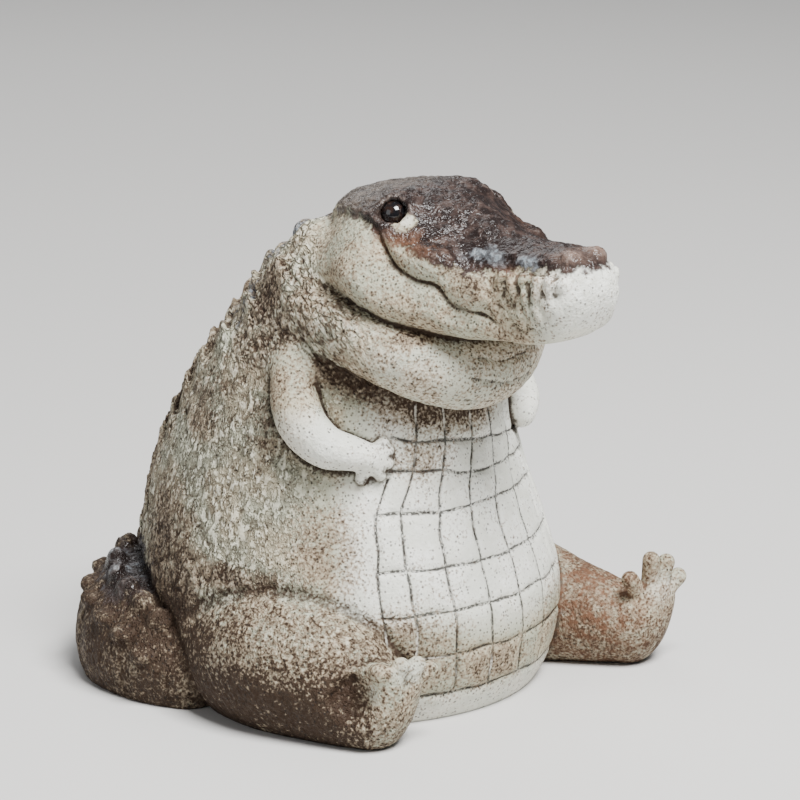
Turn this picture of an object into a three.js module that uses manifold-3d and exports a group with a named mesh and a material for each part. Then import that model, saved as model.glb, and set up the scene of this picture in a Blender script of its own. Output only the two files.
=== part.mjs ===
// A fat alligator sitting up on its haunches, modelled in one piece and fired, about 80 mm tall.
// Millimetres, +Z up, the flat underside on z = 0. The figure faces -Y, so its right side is at -X.
import * as THREE from "three";
import { mergeVertices } from "three/addons/utils/BufferGeometryUtils.js";
import Module from "manifold-3d";

const wasm = await Module();
wasm.setup();

const { clamp, degToRad, lerp, radToDeg, smoothstep } = THREE.MathUtils;

// Torso, as round slices: height, radius and how far the slice's centre lies forward (-) or back (+).
const TORSO = [
  { z: -4, radius: 26.0, y: -0.6 },
  { z: 0, radius: 29.6, y: -1.0 },
  { z: 6, radius: 32.2, y: -1.2 },
  { z: 15, radius: 33.2, y: -1.0 },
  { z: 25, radius: 31.4, y: 0.2 },
  { z: 35, radius: 28.4, y: 0.8 },
  { z: 43, radius: 25.8, y: -0.2 },
  { z: 51, radius: 23.0, y: -1.6 },
  { z: 58, radius: 20.2, y: -4.2 },
  { z: 64, radius: 17.2, y: -5.6 },
  { z: 68, radius: 14.8, y: -7.0 },
  { z: 71, radius: 12.2, y: -8.0 },
  { z: 74, radius: 8.0, y: -8.8 },
];
const TORSO_ROW = 6.5;
const TORSO_COLUMN = 16;

// The belly's plates: heights of the cross grooves, and the upright grooves as angles from the front.
const PLATE_GROOVES_Z = [4.8, 11.3, 17.9, 24.3, 32.3, 37.0, 41.3];
const PLATE_CENTRE = 3;
const PLATE_PITCH = 12;
const PLATE_COLUMNS = 5;
const PLATE_BORDER = 6;
const CHEST_TWIST = { angle: 7, from: 33, to: 45 };
const GROOVE_WIDTH = 1.2;
const GROOVE_DEPTH = 0.5;

// Head, as slices from the nape to the nose. From the top down: height of the crown, half width and
// height of the upper edge, half width of the upper jaw, height of the mouth, half width of the
// lower jaw and height of the chin.
const HEAD = [
  { y: -4.2, top: 76.4, edge: 3.0, edgeZ: 75.8, upper: 5.0, mouth: 72.0, jaw: 6.0, chin: 64.0 },
  { y: -6.5, top: 78.8, edge: 5.4, edgeZ: 78.2, upper: 9.0, mouth: 74.6, jaw: 12.0, chin: 62.0 },
  { y: -11.5, top: 80.1, edge: 7.6, edgeZ: 79.4, upper: 11.8, mouth: 76.6, jaw: 16.8, chin: 60.6 },
  { y: -17, top: 80.7, edge: 8.2, edgeZ: 79.5, upper: 13.0, mouth: 77.0, jaw: 18.8, chin: 59.8 },
  { y: -20.5, top: 80.6, edge: 8.0, edgeZ: 79.2, upper: 13.4, mouth: 75.6, jaw: 18.6, chin: 59.4 },
  { y: -24, top: 80.0, edge: 7.0, edgeZ: 78.2, upper: 13.4, mouth: 71.2, jaw: 17.2, chin: 59.2 },
  { y: -28, top: 78.8, edge: 5.8, edgeZ: 76.6, upper: 12.6, mouth: 69.4, jaw: 14.8, chin: 59.2 },
  { y: -31, top: 77.6, edge: 5.0, edgeZ: 75.2, upper: 11.8, mouth: 68.8, jaw: 13.0, chin: 59.2 },
  { y: -33.4, top: 76.8, edge: 5.2, edgeZ: 74.6, upper: 10.6, mouth: 66.3, jaw: 11.4, chin: 59.4 },
  { y: -37, top: 75.4, edge: 5.2, edgeZ: 73.8, upper: 9.0, mouth: 65.6, jaw: 9.0, chin: 59.8 },
  { y: -41, top: 75.2, edge: 5.2, edgeZ: 73.8, upper: 8.0, mouth: 63.8, jaw: 6.6, chin: 60.4 },
  { y: -44.5, top: 75.2, edge: 5.2, edgeZ: 73.8, upper: 7.6, mouth: 62.6, jaw: 4.8, chin: 61.0 },
  { y: -48, top: 75.2, edge: 5.0, edgeZ: 73.8, upper: 7.4, mouth: 63.2, jaw: 4.4, chin: 62.2 },
  { y: -51.2, top: 74.4, edge: 4.2, edgeZ: 73.0, upper: 6.2, mouth: 64.6, jaw: 3.6, chin: 63.8 },
  { y: -53.4, top: 72.6, edge: 2.8, edgeZ: 71.4, upper: 3.8, mouth: 67.0, jaw: 2.2, chin: 66.4 },
];
const HEAD_STEP = 2.5;
const MOUTH = { gap: 0.7, depth: 1.1, from: -17, to: -22 };

// Throat roll, limbs and tail, as round slices along their middle line: [x, y, z, radius].
const ROLL = [
  [-6.5, 0.5, 65.6, 3.4],
  [-12.6, -4.6, 63.6, 4.2],
  [-16.0, -13.4, 60.4, 4.8],
  [-13.6, -22.0, 56.6, 5.6],
  [-7.2, -26.8, 54.2, 6.3],
  [0, -28.0, 53.6, 6.5],
  [7.2, -26.8, 54.2, 6.3],
  [13.6, -22.0, 56.6, 5.6],
  [16.0, -13.4, 60.4, 4.8],
  [12.6, -4.6, 63.6, 4.2],
  [6.5, 0.5, 65.6, 3.4],
];
const ARM = [
  [19.8, -9.2, 53.4, 3.4],
  [21.5, -11.0, 49.8, 3.7],
  [22.3, -13.6, 46.2, 3.7],
  [21.3, -17.0, 43.4, 3.3],
  [18.8, -20.2, 42.6, 2.9],
  [16.4, -22.4, 41.8, 2.5],
];
const RIGHT_LEG = [
  [-19.0, 5.0, 8.6, 12.4],
  [-22.4, -4.0, 9.4, 12.8],
  [-23.6, -12.0, 9.6, 12.8],
  [-23.2, -19.0, 8.4, 11.2],
  [-23.4, -25.0, 6.6, 8.6],
  [-24.0, -29.5, 5.2, 6.0],
];
const LEFT_LEG = [
  [18.0, 4.0, 8.0, 12.0],
  [22.6, -6.0, 8.6, 12.2],
  [25.0, -14.0, 8.0, 10.6],
  [27.8, -21.0, 7.2, 8.6],
  [30.0, -26.0, 6.6, 7.4],
  [32.0, -30.5, 6.0, 6.0],
];
const TAIL = [
  [2.0, 18.0, 6.0, 11.0],
  [-9.0, 25.5, 6.0, 10.6],
  [-19.0, 26.6, 5.6, 10.0],
  [-27.2, 19.8, 5.4, 9.2],
  [-30.0, 11.0, 5.2, 7.9],
  [-30.6, 4.0, 4.6, 5.6],
];
const TAIL_TALL = 1.25;

// Hands and feet: the root that their digits spread from, and the middle of each round tip.
const HAND = {
  root: [16.0, -23.0, 41.6],
  tips: [
    [13.0, -24.2, 43.0],
    [13.2, -24.6, 40.8],
    [14.6, -24.2, 38.2],
    [16.6, -23.2, 37.6],
    [18.6, -21.8, 37.6],
  ],
  radius: 0.9,
};
const RIGHT_FOOT = {
  pad: { centre: [-22.6, -33.0, 7.2], radii: [5.0, 3.0, 7.4], turn: [16, 8, 0] },
  root: [-22.6, -33.6, 9.0],
  tips: [[-26.4, -34.2, 13.4], [-23.2, -35.0, 13.6], [-20.0, -35.2, 12.8], [-17.2, -35.2, 10.8]],
  radius: 1.5,
};
const LEFT_FOOT = {
  pad: { centre: [34.2, -33.4, 7.6], radii: [5.2, 3.0, 7.8], turn: [16, 10, 0] },
  root: [34.0, -34.0, 9.0],
  tips: [[29.4, -34.2, 14.2], [33.2, -35.6, 16.2], [35.6, -35.9, 15.0], [38.6, -35.9, 12.6]],
  radius: 1.5,
};

// Features of the head, given for the left side.
const EYE = { at: [10.3, -21.0, 78.0], radii: [2.0, 2.0, 2.0] };
const BROW = { at: [8.2, -19.4, 78.0], radii: [3.6, 4.4, 2.6] };
const NOSTRIL = { at: [2.3, -49.9, 74.8], radii: [1.5, 1.7, 1.5] };
const TOOTH = { radii: [1.1, 1.4, 2.0], from: -37, to: -47, pitch: 3.2, aboveMouth: 3.2 };

// Keeled scales in two rows down the back and along the top of the tail.
const BACK_SCALES = { from: 68, to: 17, pitch: 5.2, spread: 3.2, radii: [1.8, 1.3, 2.6] };
const TAIL_SCALES = { from: 0.16, to: 0.84, count: 7, spread: 3.0, radii: [1.7, 2.6, 1.8] };

const catmullRom = (a, b, c, d, t) =>
  0.5 * (2 * b + (c - a) * t + (2 * a - 5 * b + 4 * c - d) * t * t + (3 * b - a - 3 * c + d) * t ** 3);

// The slice at one value of its key, with every other size read off a smooth curve through the table.
function sliceAt(table, key, value) {
  const falling = table[0][key] > table.at(-1)[key];
  const past = table.findIndex((s) => (falling ? s[key] <= value : s[key] >= value));
  const i = past < 0 ? table.length - 1 : Math.max(past, 1);
  const [a, b, c, d] = [i - 2, i - 1, i, i + 1].map((n) => table[clamp(n, 0, table.length - 1)]);
  const t = (value - b[key]) / (c[key] - b[key]);
  return Object.fromEntries(
    Object.keys(b).map((k) => [k, k === key ? value : catmullRom(a[k], b[k], c[k], d[k], t)]),
  );
}

// Evenly spaced values from one number to another, both ends included.
function spaced(from, to, step) {
  const count = Math.max(1, Math.round(Math.abs(to - from) / step));
  return Array.from({ length: count + 1 }, (_, i) => lerp(from, to, i / count));
}

// A closed surface over a stack of rings, which all have the same number of points.
function skin(rings) {
  const sides = rings[0].length;
  const middle = (ring) => ring.reduce((sum, p) => sum.add(p), new THREE.Vector3()).divideScalar(sides);
  const points = [...rings.flat(), middle(rings[0]), middle(rings.at(-1))];
  const last = (rings.length - 1) * sides;
  const faces = [];
  for (let s = 0; s < sides; s++) {
    const next = (s + 1) % sides;
    faces.push(points.length - 2, next, s, points.length - 1, last + s, last + next);
    for (let row = 0; row < last; row += sides) {
      const [a, b] = [row + s, row + next];
      faces.push(a, b, a + sides, b, b + sides, a + sides);
    }
  }
  return new THREE.BufferGeometry().setFromPoints(points).setIndex(faces);
}

// A geometry as a solid that can be joined and cut, with its faces turned outwards.
function solid(geometry) {
  const bare = geometry.clone();
  bare.deleteAttribute("normal");
  bare.deleteAttribute("uv");
  const { attributes, index } = mergeVertices(bare, 1e-4);
  const build = (triVerts) =>
    new wasm.Manifold(new wasm.Mesh({ numProp: 3, vertProperties: attributes.position.array, triVerts }));
  const made = build(new Uint32Array(index.array));
  return made.volume() > 0 ? made : build(new Uint32Array(index.array).reverse());
}

function ellipsoid(centre, radii, { widths = 9, heights = 6, turn = [0, 0, 0] } = {}) {
  const matrix = new THREE.Matrix4().compose(
    new THREE.Vector3(...centre),
    new THREE.Quaternion().setFromEuler(new THREE.Euler(...turn.map(degToRad))),
    new THREE.Vector3(...radii),
  );
  return solid(new THREE.SphereGeometry(1, widths, heights).rotateX(Math.PI / 2).applyMatrix4(matrix));
}

const middleLine = (stations) =>
  new THREE.CatmullRomCurve3(stations.map(([x, y, z]) => new THREE.Vector3(x, y, z)));

function radiusAlong(stations, t) {
  const table = stations.map(([, , , radius], i) => ({ at: i / (stations.length - 1), radius }));
  return sliceAt(table, "at", t).radius;
}

// A limb with round ends through its stations; its slices can be taller than they are wide.
function limb(stations, { sides = 12, steps = 9, tall = 1, caps = 2 } = {}) {
  const curve = middleLine(stations);
  const ring = (t, lift = 0, sign = 1) => {
    const tangent = curve.getTangent(t);
    const side = new THREE.Vector3(-tangent.y, tangent.x, 0).normalize();
    const up = new THREE.Vector3().crossVectors(tangent, side);
    const radius = radiusAlong(stations, t);
    const middle = curve.getPoint(t).addScaledVector(tangent, sign * radius * Math.sin(lift));
    return Array.from({ length: sides }, (_, i) => {
      const turn = (2 * Math.PI * i) / sides;
      return middle
        .clone()
        .addScaledVector(side, radius * Math.cos(lift) * Math.cos(turn))
        .addScaledVector(up, tall * radius * Math.cos(lift) * Math.sin(turn));
    });
  };
  const lifts = spaced(0, 1, 1 / (caps + 1)).slice(1).map((n) => (n * Math.PI * 0.9) / 2);
  return solid(
    skin([
      ...lifts.map((lift) => ring(0, lift, -1)).reverse(),
      ...spaced(0, 1, 1 / steps).map((t) => ring(t)),
      ...lifts.map((lift) => ring(1, lift, 1)),
    ]),
  );
}

// A round-ended digit from a root to the middle of its tip.
function digit(root, tip, radius) {
  const [from, to] = [new THREE.Vector3(...root), new THREE.Vector3(...tip)];
  const along = to.clone().sub(from);
  const turn = new THREE.Quaternion().setFromUnitVectors(
    new THREE.Vector3(0, 1, 0),
    along.clone().normalize(),
  );
  const geometry = new THREE.CapsuleGeometry(radius, along.length(), 2, 7).applyQuaternion(turn);
  return solid(geometry.translate(...from.lerp(to, 0.5).toArray()));
}

// The belly's upright grooves, and how far all its grooves sink the surface at one point.
const plateEdge = (PLATE_PITCH * PLATE_COLUMNS) / 2;
const plateAngles = [
  -plateEdge - PLATE_BORDER,
  ...spaced(-plateEdge, plateEdge, PLATE_PITCH),
  plateEdge + PLATE_BORDER,
].map((angle) => PLATE_CENTRE + angle);
function grooveDepth(z, angle, radius) {
  const offCentre = Math.abs(angle - PLATE_CENTRE);
  const across = Math.min(...PLATE_GROOVES_Z.map((groove) => Math.abs(z - groove)));
  const upright = Math.min(...plateAngles.map((groove) => degToRad(Math.abs(angle - groove)) * radius));
  const onPlates = offCentre < plateEdge + PLATE_BORDER + 0.1 && z < PLATE_GROOVES_Z.at(-1) + PLATE_BORDER;
  return onPlates ? GROOVE_DEPTH * (1 - smoothstep(Math.min(across, upright), 0, GROOVE_WIDTH / 2)) : 0;
}

// Values with each groove's two edges and bottom put in, and the ones that crowd them taken out.
function withGrooves(values, grooves, halfWidth) {
  const kept = values.filter((v) => grooves.every((g) => Math.abs(v - g) > 3 * halfWidth));
  return [...kept, ...grooves.flatMap((g) => [g - halfWidth, g, g + halfWidth])].sort((a, b) => a - b);
}

function torso() {
  const halfWidth = GROOVE_WIDTH / 2;
  const halfAngle = radToDeg(halfWidth / Math.max(...TORSO.map((slice) => slice.radius)));
  const heights = withGrooves(spaced(TORSO[0].z, TORSO.at(-1).z, TORSO_ROW), PLATE_GROOVES_Z, halfWidth);
  const angles = withGrooves(spaced(-180, 180, TORSO_COLUMN).slice(1), plateAngles, halfAngle);
  const rings = heights.map((z) => {
    const slice = sliceAt(TORSO, "z", z);
    const twist = CHEST_TWIST.angle * smoothstep(z, CHEST_TWIST.from, CHEST_TWIST.to);
    return angles.map((angle) => {
      const reach = slice.radius - grooveDepth(z, angle, slice.radius);
      const turn = degToRad(angle + twist);
      return new THREE.Vector3(reach * Math.sin(turn), slice.y - reach * Math.cos(turn), z);
    });
  });
  return solid(skin(rings));
}

// One slice of the head: down its left side from the crown, in at the mouth and round to the chin.
function headRing(slice) {
  const { y, top, edge, edgeZ, upper, mouth, jaw, chin } = slice;
  const open = smoothstep(-y, -MOUTH.from, -MOUTH.to);
  const lip = lerp(upper, Math.min(upper, jaw) - 0.2, 0.35);
  const corner = mouth - MOUTH.gap;
  const left = [
    [0.55 * edge, lerp(top, edgeZ, 0.25)],
    [edge, edgeZ],
    [lerp(edge, upper, 0.55), lerp(edgeZ, mouth, 0.25)],
    [upper, lerp(edgeZ, mouth, 0.6)],
    [lip, mouth + MOUTH.gap],
    [lip - open * MOUTH.depth, mouth],
    [lerp(lip, jaw, 0.35), corner],
    [lerp(lip, jaw, 0.85), lerp(corner, chin, 0.2)],
    [jaw, lerp(corner, chin, 0.45)],
    [0.82 * jaw, lerp(corner, chin, 0.72)],
    [0.48 * jaw, lerp(corner, chin, 0.92)],
  ];
  const right = left.map(([x, z]) => [-x, z]).reverse();
  return [[0, top], ...left, [0, chin], ...right].map(([x, z]) => new THREE.Vector3(x, y, z));
}

function head() {
  const stations = spaced(HEAD[0].y, HEAD.at(-1).y, HEAD_STEP);
  return solid(skin(stations.map((y) => headRing(sliceAt(HEAD, "y", y)))));
}

function face() {
  const teeth = spaced(TOOTH.from, TOOTH.to, TOOTH.pitch).map((y) => {
    const { upper, mouth } = sliceAt(HEAD, "y", y);
    return { at: [0.97 * upper, y, mouth + TOOTH.aboveMouth], radii: TOOTH.radii, widths: 6, heights: 5 };
  });
  return [BROW, EYE, NOSTRIL, ...teeth].flatMap(({ at: [x, y, z], radii, ...detail }) =>
    [-x, x].map((across) => ellipsoid([across, y, z], radii, detail)),
  );
}

function arm(side) {
  const flip = ([x, ...rest]) => [side * x, ...rest];
  return [
    limb(ARM.map(flip), { sides: 10 }),
    ...HAND.tips.map((tip) => digit(flip(HAND.root), flip(tip), HAND.radius)),
  ];
}

function foot({ pad, root, tips, radius }) {
  return [
    ellipsoid(pad.centre, pad.radii, { widths: 12, heights: 8, turn: pad.turn }),
    ...tips.map((tip) => digit(root, tip, radius)),
  ];
}

const scale = (radii, heading, place) =>
  solid(new THREE.OctahedronGeometry(1).scale(...radii).rotateZ(heading).translate(...place.toArray()));

function backScales() {
  return spaced(BACK_SCALES.from, BACK_SCALES.to, BACK_SCALES.pitch).flatMap((z) => {
    const { radius, y } = sliceAt(TORSO, "z", z);
    return [-1, 1].map((row) => {
      const turn = (row * BACK_SCALES.spread) / radius;
      const place = new THREE.Vector3(radius * Math.sin(turn), y + radius * Math.cos(turn), z);
      return scale(BACK_SCALES.radii, -turn, place);
    });
  });
}

function tailScales() {
  const { from, to, count, spread, radii } = TAIL_SCALES;
  const curve = middleLine(TAIL);
  return spaced(from, to, (to - from) / count).flatMap((t) => {
    const { x, y } = curve.getTangent(t);
    const heading = Math.atan2(y, x) - Math.PI / 2;
    const radius = radiusAlong(TAIL, t);
    return [-1, 1].map((row) => {
      const lean = (row * spread) / radius;
      const away = new THREE.Vector3(radius * Math.sin(lean), 0, TAIL_TALL * radius * Math.cos(lean));
      away.applyAxisAngle(new THREE.Vector3(0, 0, 1), heading);
      return scale(radii, heading, away.add(curve.getPoint(t)));
    });
  });
}

const ground = solid(new THREE.BoxGeometry(200, 200, 40).translate(0, 0, -20));
const body = [
  torso(),
  head(),
  ...face(),
  limb(ROLL, { steps: 16 }),
  ...[-1, 1].flatMap(arm),
  ...[RIGHT_LEG, LEFT_LEG].map((leg) => limb(leg)),
  ...[RIGHT_FOOT, LEFT_FOOT].flatMap(foot),
  limb(TAIL, { steps: 10, tall: TAIL_TALL }),
  ...backScales(),
  ...tailScales(),
]
  .reduce((joined, part) => joined.add(part))
  .subtract(ground)
  .getMesh();

const firedClay = new THREE.MeshStandardMaterial({ color: 0xc9c2b3, roughness: 0.85, metalness: 0 });
const alligator = new THREE.Mesh(
  new THREE.BufferGeometry()
    .setAttribute("position", new THREE.BufferAttribute(body.vertProperties, 3))
    .setIndex(new THREE.BufferAttribute(body.triVerts, 1)),
  firedClay,
);
alligator.name = "alligator";

const figurine = new THREE.Group();
figurine.add(alligator);
export default figurine;
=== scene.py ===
import math

import bpy
import numpy as np
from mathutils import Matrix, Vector


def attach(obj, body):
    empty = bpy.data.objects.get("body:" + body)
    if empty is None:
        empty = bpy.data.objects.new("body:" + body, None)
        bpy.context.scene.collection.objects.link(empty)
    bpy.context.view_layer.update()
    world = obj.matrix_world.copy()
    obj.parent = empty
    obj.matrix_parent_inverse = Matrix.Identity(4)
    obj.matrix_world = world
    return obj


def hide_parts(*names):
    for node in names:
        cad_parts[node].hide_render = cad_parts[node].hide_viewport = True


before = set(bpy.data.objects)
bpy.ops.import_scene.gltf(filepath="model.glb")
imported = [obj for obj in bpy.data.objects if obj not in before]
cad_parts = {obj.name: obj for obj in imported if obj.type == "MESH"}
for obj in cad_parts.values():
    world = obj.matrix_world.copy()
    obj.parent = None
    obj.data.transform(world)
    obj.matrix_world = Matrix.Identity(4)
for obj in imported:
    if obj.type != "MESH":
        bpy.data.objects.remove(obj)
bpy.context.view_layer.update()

# The figurine is a fat alligator sitting up on its haunches, about 80 mm tall. Sizes are millimetres
# in the model's frame: +Z up, facing -Y, its right side at -X. The mesh is scaled to metres at the end.
MM = 0.001
STEP = 0.36
MOST_TRIANGLES = 192_000

# Torso, as round slices: height, radius and how far the centre lies forward (-) or back (+).
TORSO = [
    (-4, 26.0, -0.6), (0, 29.6, -1.0), (6, 32.2, -1.2), (15, 33.2, -1.0), (25, 31.4, 0.2), (35, 28.4, 0.8),
    (43, 25.8, -0.2), (51, 23.0, -1.6), (58, 20.2, -4.2), (64, 17.2, -5.6), (68, 14.8, -7.0),
    (71, 12.2, -8.0), (74, 8.0, -8.8), (76.5, 2.4, -9.2), (77.2, 0.4, -9.4),
]

# The belly's plates: heights of the cross grooves, and the upright grooves as angles in degrees from
# the front: the middle, the pitch and the outer columns' width. Between two heights of the chest the
# columns turn by some degrees. The rows lean by some millimetres a degree.
PLATE_GROOVES_Z = [4.8, 11.3, 17.9, 24.3, 32.3, 37.0, 41.3]
PLATE_CENTRE = 3
PLATE_PITCH = 12
PLATE_COLUMNS = 5
PLATE_BORDER = 8
CHEST_TWIST = (7, 28, 44)
BORDER_TOP = 38.0
ROW_LEAN = 0.065
GROOVE_WIDTH = 0.55
GROOVE_DEPTH = 0.5
GROOVES_RISE = (3, 6)
GROOVES_TOP = 49
LINES_TOP = 48.5

# Head, as slices from the nape to the nose: place, height of the crown, half width and height of the
# upper edge, half width of the upper jaw, height of the mouth, half width of the lower jaw, chin.
HEAD = [
    (1.6, 71.5, 1.0, 71.2, 2.0, 70.0, 2.4, 67.0),
    (-4.2, 76.4, 3.0, 75.8, 5.0, 72.0, 5.0, 64.0),
    (-6.5, 78.8, 5.4, 78.2, 9.0, 74.6, 10.6, 62.0),
    (-11.5, 80.1, 7.6, 79.4, 11.8, 76.6, 15.4, 60.6),
    (-17, 80.7, 8.2, 79.5, 13.0, 77.0, 18.2, 59.8),
    (-20.5, 80.6, 8.0, 79.2, 13.4, 75.6, 18.6, 59.4),
    (-24, 80.0, 7.0, 78.2, 13.4, 71.2, 17.2, 59.2),
    (-28, 78.8, 5.8, 76.6, 12.6, 69.4, 14.8, 59.2),
    (-31, 77.6, 5.0, 75.2, 11.8, 68.8, 13.0, 59.2),
    (-33.4, 76.8, 5.2, 74.6, 10.6, 66.3, 11.4, 59.4),
    (-37, 75.4, 5.2, 73.8, 9.0, 65.4, 9.2, 59.8),
    (-41, 75.2, 5.2, 73.8, 8.0, 63.4, 7.4, 60.4),
    (-44.5, 75.2, 5.2, 73.8, 7.7, 62.0, 5.8, 60.8),
    (-48, 75.2, 5.0, 73.8, 7.5, 62.6, 4.4, 61.6),
    (-51.2, 74.4, 4.2, 73.0, 6.2, 64.6, 2.8, 63.8),
    (-53.2, 72.6, 2.8, 71.6, 3.9, 67.2, 1.8, 66.6),
    (-54.1, 70.3, 0.3, 70.2, 0.4, 69.8, 0.3, 69.6),
]
# The mouth's line: half its height, how deep it is cut, and how far forwards it opens and ends.
MOUTH_GAP = 0.7
MOUTH_DEPTH = 1.1
MOUTH_OPENS = (19, 25)
MOUTH_CLOSES = (36, 43)

# How softly each part is pressed on or cut out, and the depth and width of the furrow round it.
PRESSED = {
    "torso": (0.1,), "back_scale": (1.6,), "leg": (1.2, 0.75, 1.0), "pad": (2.6,), "toe": (0.8, 0.25, 0.5),
    "instep": (2.0,), "instep_hollow": (1.6,), "sole": (0.6,), "tail": (1.4, 0.8, 1.2),
    "tail_scale": (0.8,), "roll": (1.6, 0.5, 0.9), "neck": (3.0,), "head": (1.0, 0.35, 0.5),
    "nape": (1.0,), "arm": (0.6, 0.6, 0.55), "finger": (0.9, 0.15, 0.4), "socket": (0.8,), "lid": (0.6,),
    "eye": (0.15,),
}
# How softly parts run into each other where no crease shows between them.
SOFT_BLEND = 4.5
CLAY_BOX = ((-41, -57, -2.4), (43, 41, 85))

# Throat roll, limbs and tail, as round slices along their middle line: x, y, z and radius.
ROLL_HALF = [
    (6.5, 0.5, 65.6, 3.4), (12.6, -4.6, 63.8, 4.2), (16.0, -13.4, 61.0, 4.6), (13.8, -22.2, 57.8, 5.1),
    (7.4, -26.8, 55.0, 5.9), (0, -28.0, 53.8, 6.4),
]
ARM = [
    (19.8, -9.2, 53.4, 3.4), (21.5, -11.0, 49.8, 3.7), (22.3, -13.6, 46.2, 3.7), (21.3, -17.0, 43.4, 3.3),
    (19.2, -19.6, 42.5, 2.8), (17.5, -21.2, 41.9, 2.35),
]
RIGHT_LEG = [
    (-19.0, 5.0, 8.6, 12.4), (-22.4, -4.0, 9.4, 12.8), (-23.6, -12.0, 9.6, 12.8), (-23.2, -19.0, 8.4, 11.2),
    (-23.4, -25.0, 6.6, 8.6), (-24.0, -29.5, 5.2, 6.0),
]
LEFT_LEG = [
    (18.0, 4.0, 8.0, 12.0), (22.6, -6.0, 8.6, 12.2), (25.0, -14.0, 8.0, 10.6), (27.8, -21.0, 7.2, 8.6),
    (30.0, -26.0, 6.6, 7.4), (32.0, -30.5, 6.0, 6.0),
]
TAIL = [
    (2.0, 18.0, 6.0, 11.0), (-9.0, 25.5, 6.0, 10.6), (-19.0, 26.6, 5.6, 10.0), (-27.2, 19.8, 5.4, 9.2),
    (-30.0, 11.0, 5.2, 7.9), (-30.6, 4.0, 4.6, 5.6),
]
TAIL_TALL = 1.25
# The hand, and how many degrees further round the body the far one lies; feet and their toes.
HAND_ROOT = (16.7, -21.8, 41.5)
FINGER_TIPS = [
    (14.0, -22.5, 43.4), (13.5, -23.0, 42.2), (13.8, -23.2, 40.4), (15.1, -22.9, 38.7), (17.5, -21.3, 38.3),
]
FINGER_RADII = (1.45, 0.88)
FAR_HAND_TURN = 20
RIGHT_PAD = ((-22.6, -32.6, 7.2), (5.0, 3.0, 7.2), (28, 8, 0))
RIGHT_ANKLE = (-22.6, -33.0, 8.6)
RIGHT_TOES = [(-26.6, -34.4, 12.9), (-23.2, -35.4, 13.4), (-20.0, -35.6, 12.9), (-17.0, -35.3, 11.4)]
LEFT_PAD = ((34.2, -33.4, 7.6), (5.2, 3.0, 7.8), (16, 10, 0))
LEFT_ANKLE = (34.0, -34.0, 9.0)
LEFT_TOES = [(29.2, -34.2, 14.8), (32.6, -35.6, 17.6), (35.9, -35.9, 16.6), (38.8, -35.9, 13.6)]
TOE_RADIUS = 1.4

# Near instep: the skin that fills it, its shallow hollow, and the crease where the thigh ends over it.
INSTEP = ((-25.8, -32.0, 10.2), (2.6, 2.6, 3.2))
INSTEP_HOLLOW = ((-30.5, -32.3, 8.8), (3.6, 3.6, 4.4))
FOOT_CREASE = [
    (-30.4, -27.2, 7.4, 0), (-29.4, -28.4, 9.2, 0), (-28.0, -29.1, 10.6, 0), (-26.4, -29.6, 11.8, 0),
    (-24.8, -29.9, 12.6, 0),
]
CREASE_DEPTH = 0.7
CREASE_WIDTH = 1.0

# The raised line down the near sole, and the shallow panel beside it.
SOLE_RIDGE = ((-25.4, -35.4, 11.2), (0.8, 0.9, 2.8))
SOLE_PANEL = ((-22.9, -37.0, 10.8), (1.5, 1.0, 2.2))

# Skin that fills the neck behind each cheek: place and radii.
NECK_FILL = ((9.6, -4.4, 69.0), (4.2, 4.6, 5.4))

# The left eye: its middle, the way it faces, its radius and the room round it. Its dome is a little
# flat and reaches some way past a half ball. Round it are a socket and a lid, both set outwards.
EYE = (8.8, -19.5, 77.4)
EYE_FACES = (0.70, -0.56, 0.44)
EYE_RADIUS = 2.05
EYE_ROOM = 0.05
EYE_FLAT = 0.94
EYE_REACH = 0.72 * math.pi
SOCKET_RADIUS = 2.3
SOCKET_OUT = 2.3
LID_RADIUS = 2.15
LID_THICKNESS = 0.45
LID_OUT = 0.35

# Lumps of the face: place, radii and turn on the left side, and how softly each runs into the rest.
FACE_LUMPS = [
    (((7.6, -18.8, 77.6), (3.4, 4.6, 2.6)), 2.0),
    (((9.2, -20.4, 78.7), (1.7, 2.2, 1.4)), 0.9),
    (((10.8, -28.4, 71.4), (2.2, 4.6, 2.7), (-8, 0, -12)), 1.4),
    (((8.9, -35.2, 68.0), (1.9, 3.4, 2.9), (-14, 0, -14)), 1.4),
    (((2.6, -49.8, 74.2), (1.4, 1.8, 1.3)), 0.8),
    (((7.2, -40.4, 70.2), (1.1, 0.85, 1.9), (12, 14, 0)), 0.7),
    (((7.2, -42.5, 69.8), (1.2, 0.95, 2.3), (-10, 10, 0)), 0.6),
    (((7.0, -44.4, 71.0), (1.2, 0.9, 1.3), (10, 10, 0)), 0.6),
    (((7.0, -44.9, 68.6), (1.1, 0.9, 1.5), (-14, 10, 0)), 0.6),
    (((6.8, -46.8, 70.0), (1.1, 0.95, 2.3), (12, 10, 0)), 0.6),
    (((6.4, -49.0, 71.0), (1.1, 0.9, 1.5), (-8, 10, 0)), 0.7),
    (((5.5, -50.9, 71.0), (1.0, 0.8, 1.3), (-6, 10, 0)), 0.8),
    (((6.0, -49.4, 67.2), (1.0, 1.6, 1.6)), 0.7),
    (((6.6, -44.0, 65.8), (1.6, 1.9, 1.6)), 0.6),
    (((6.5, -40.6, 65.6), (1.3, 1.3, 1.2)), 0.7),
    (((5.6, -48.0, 65.4), (1.3, 1.6, 1.1)), 0.9),
]
FACE_PITS = [
    (((2.9, -51.0, 75.2), (0.5, 0.7, 0.5)), 0.4),
]
NAPE_LUMPS = [
    ((3.4, 5.2, 69.8), (2.4, 1.8, 2.2)),
    ((3.6, 9.6, 65.4), (2.3, 1.8, 2.4)),
    ((9.4, 3.4, 67.0), (2.1, 1.6, 2.0)),
]

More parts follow.
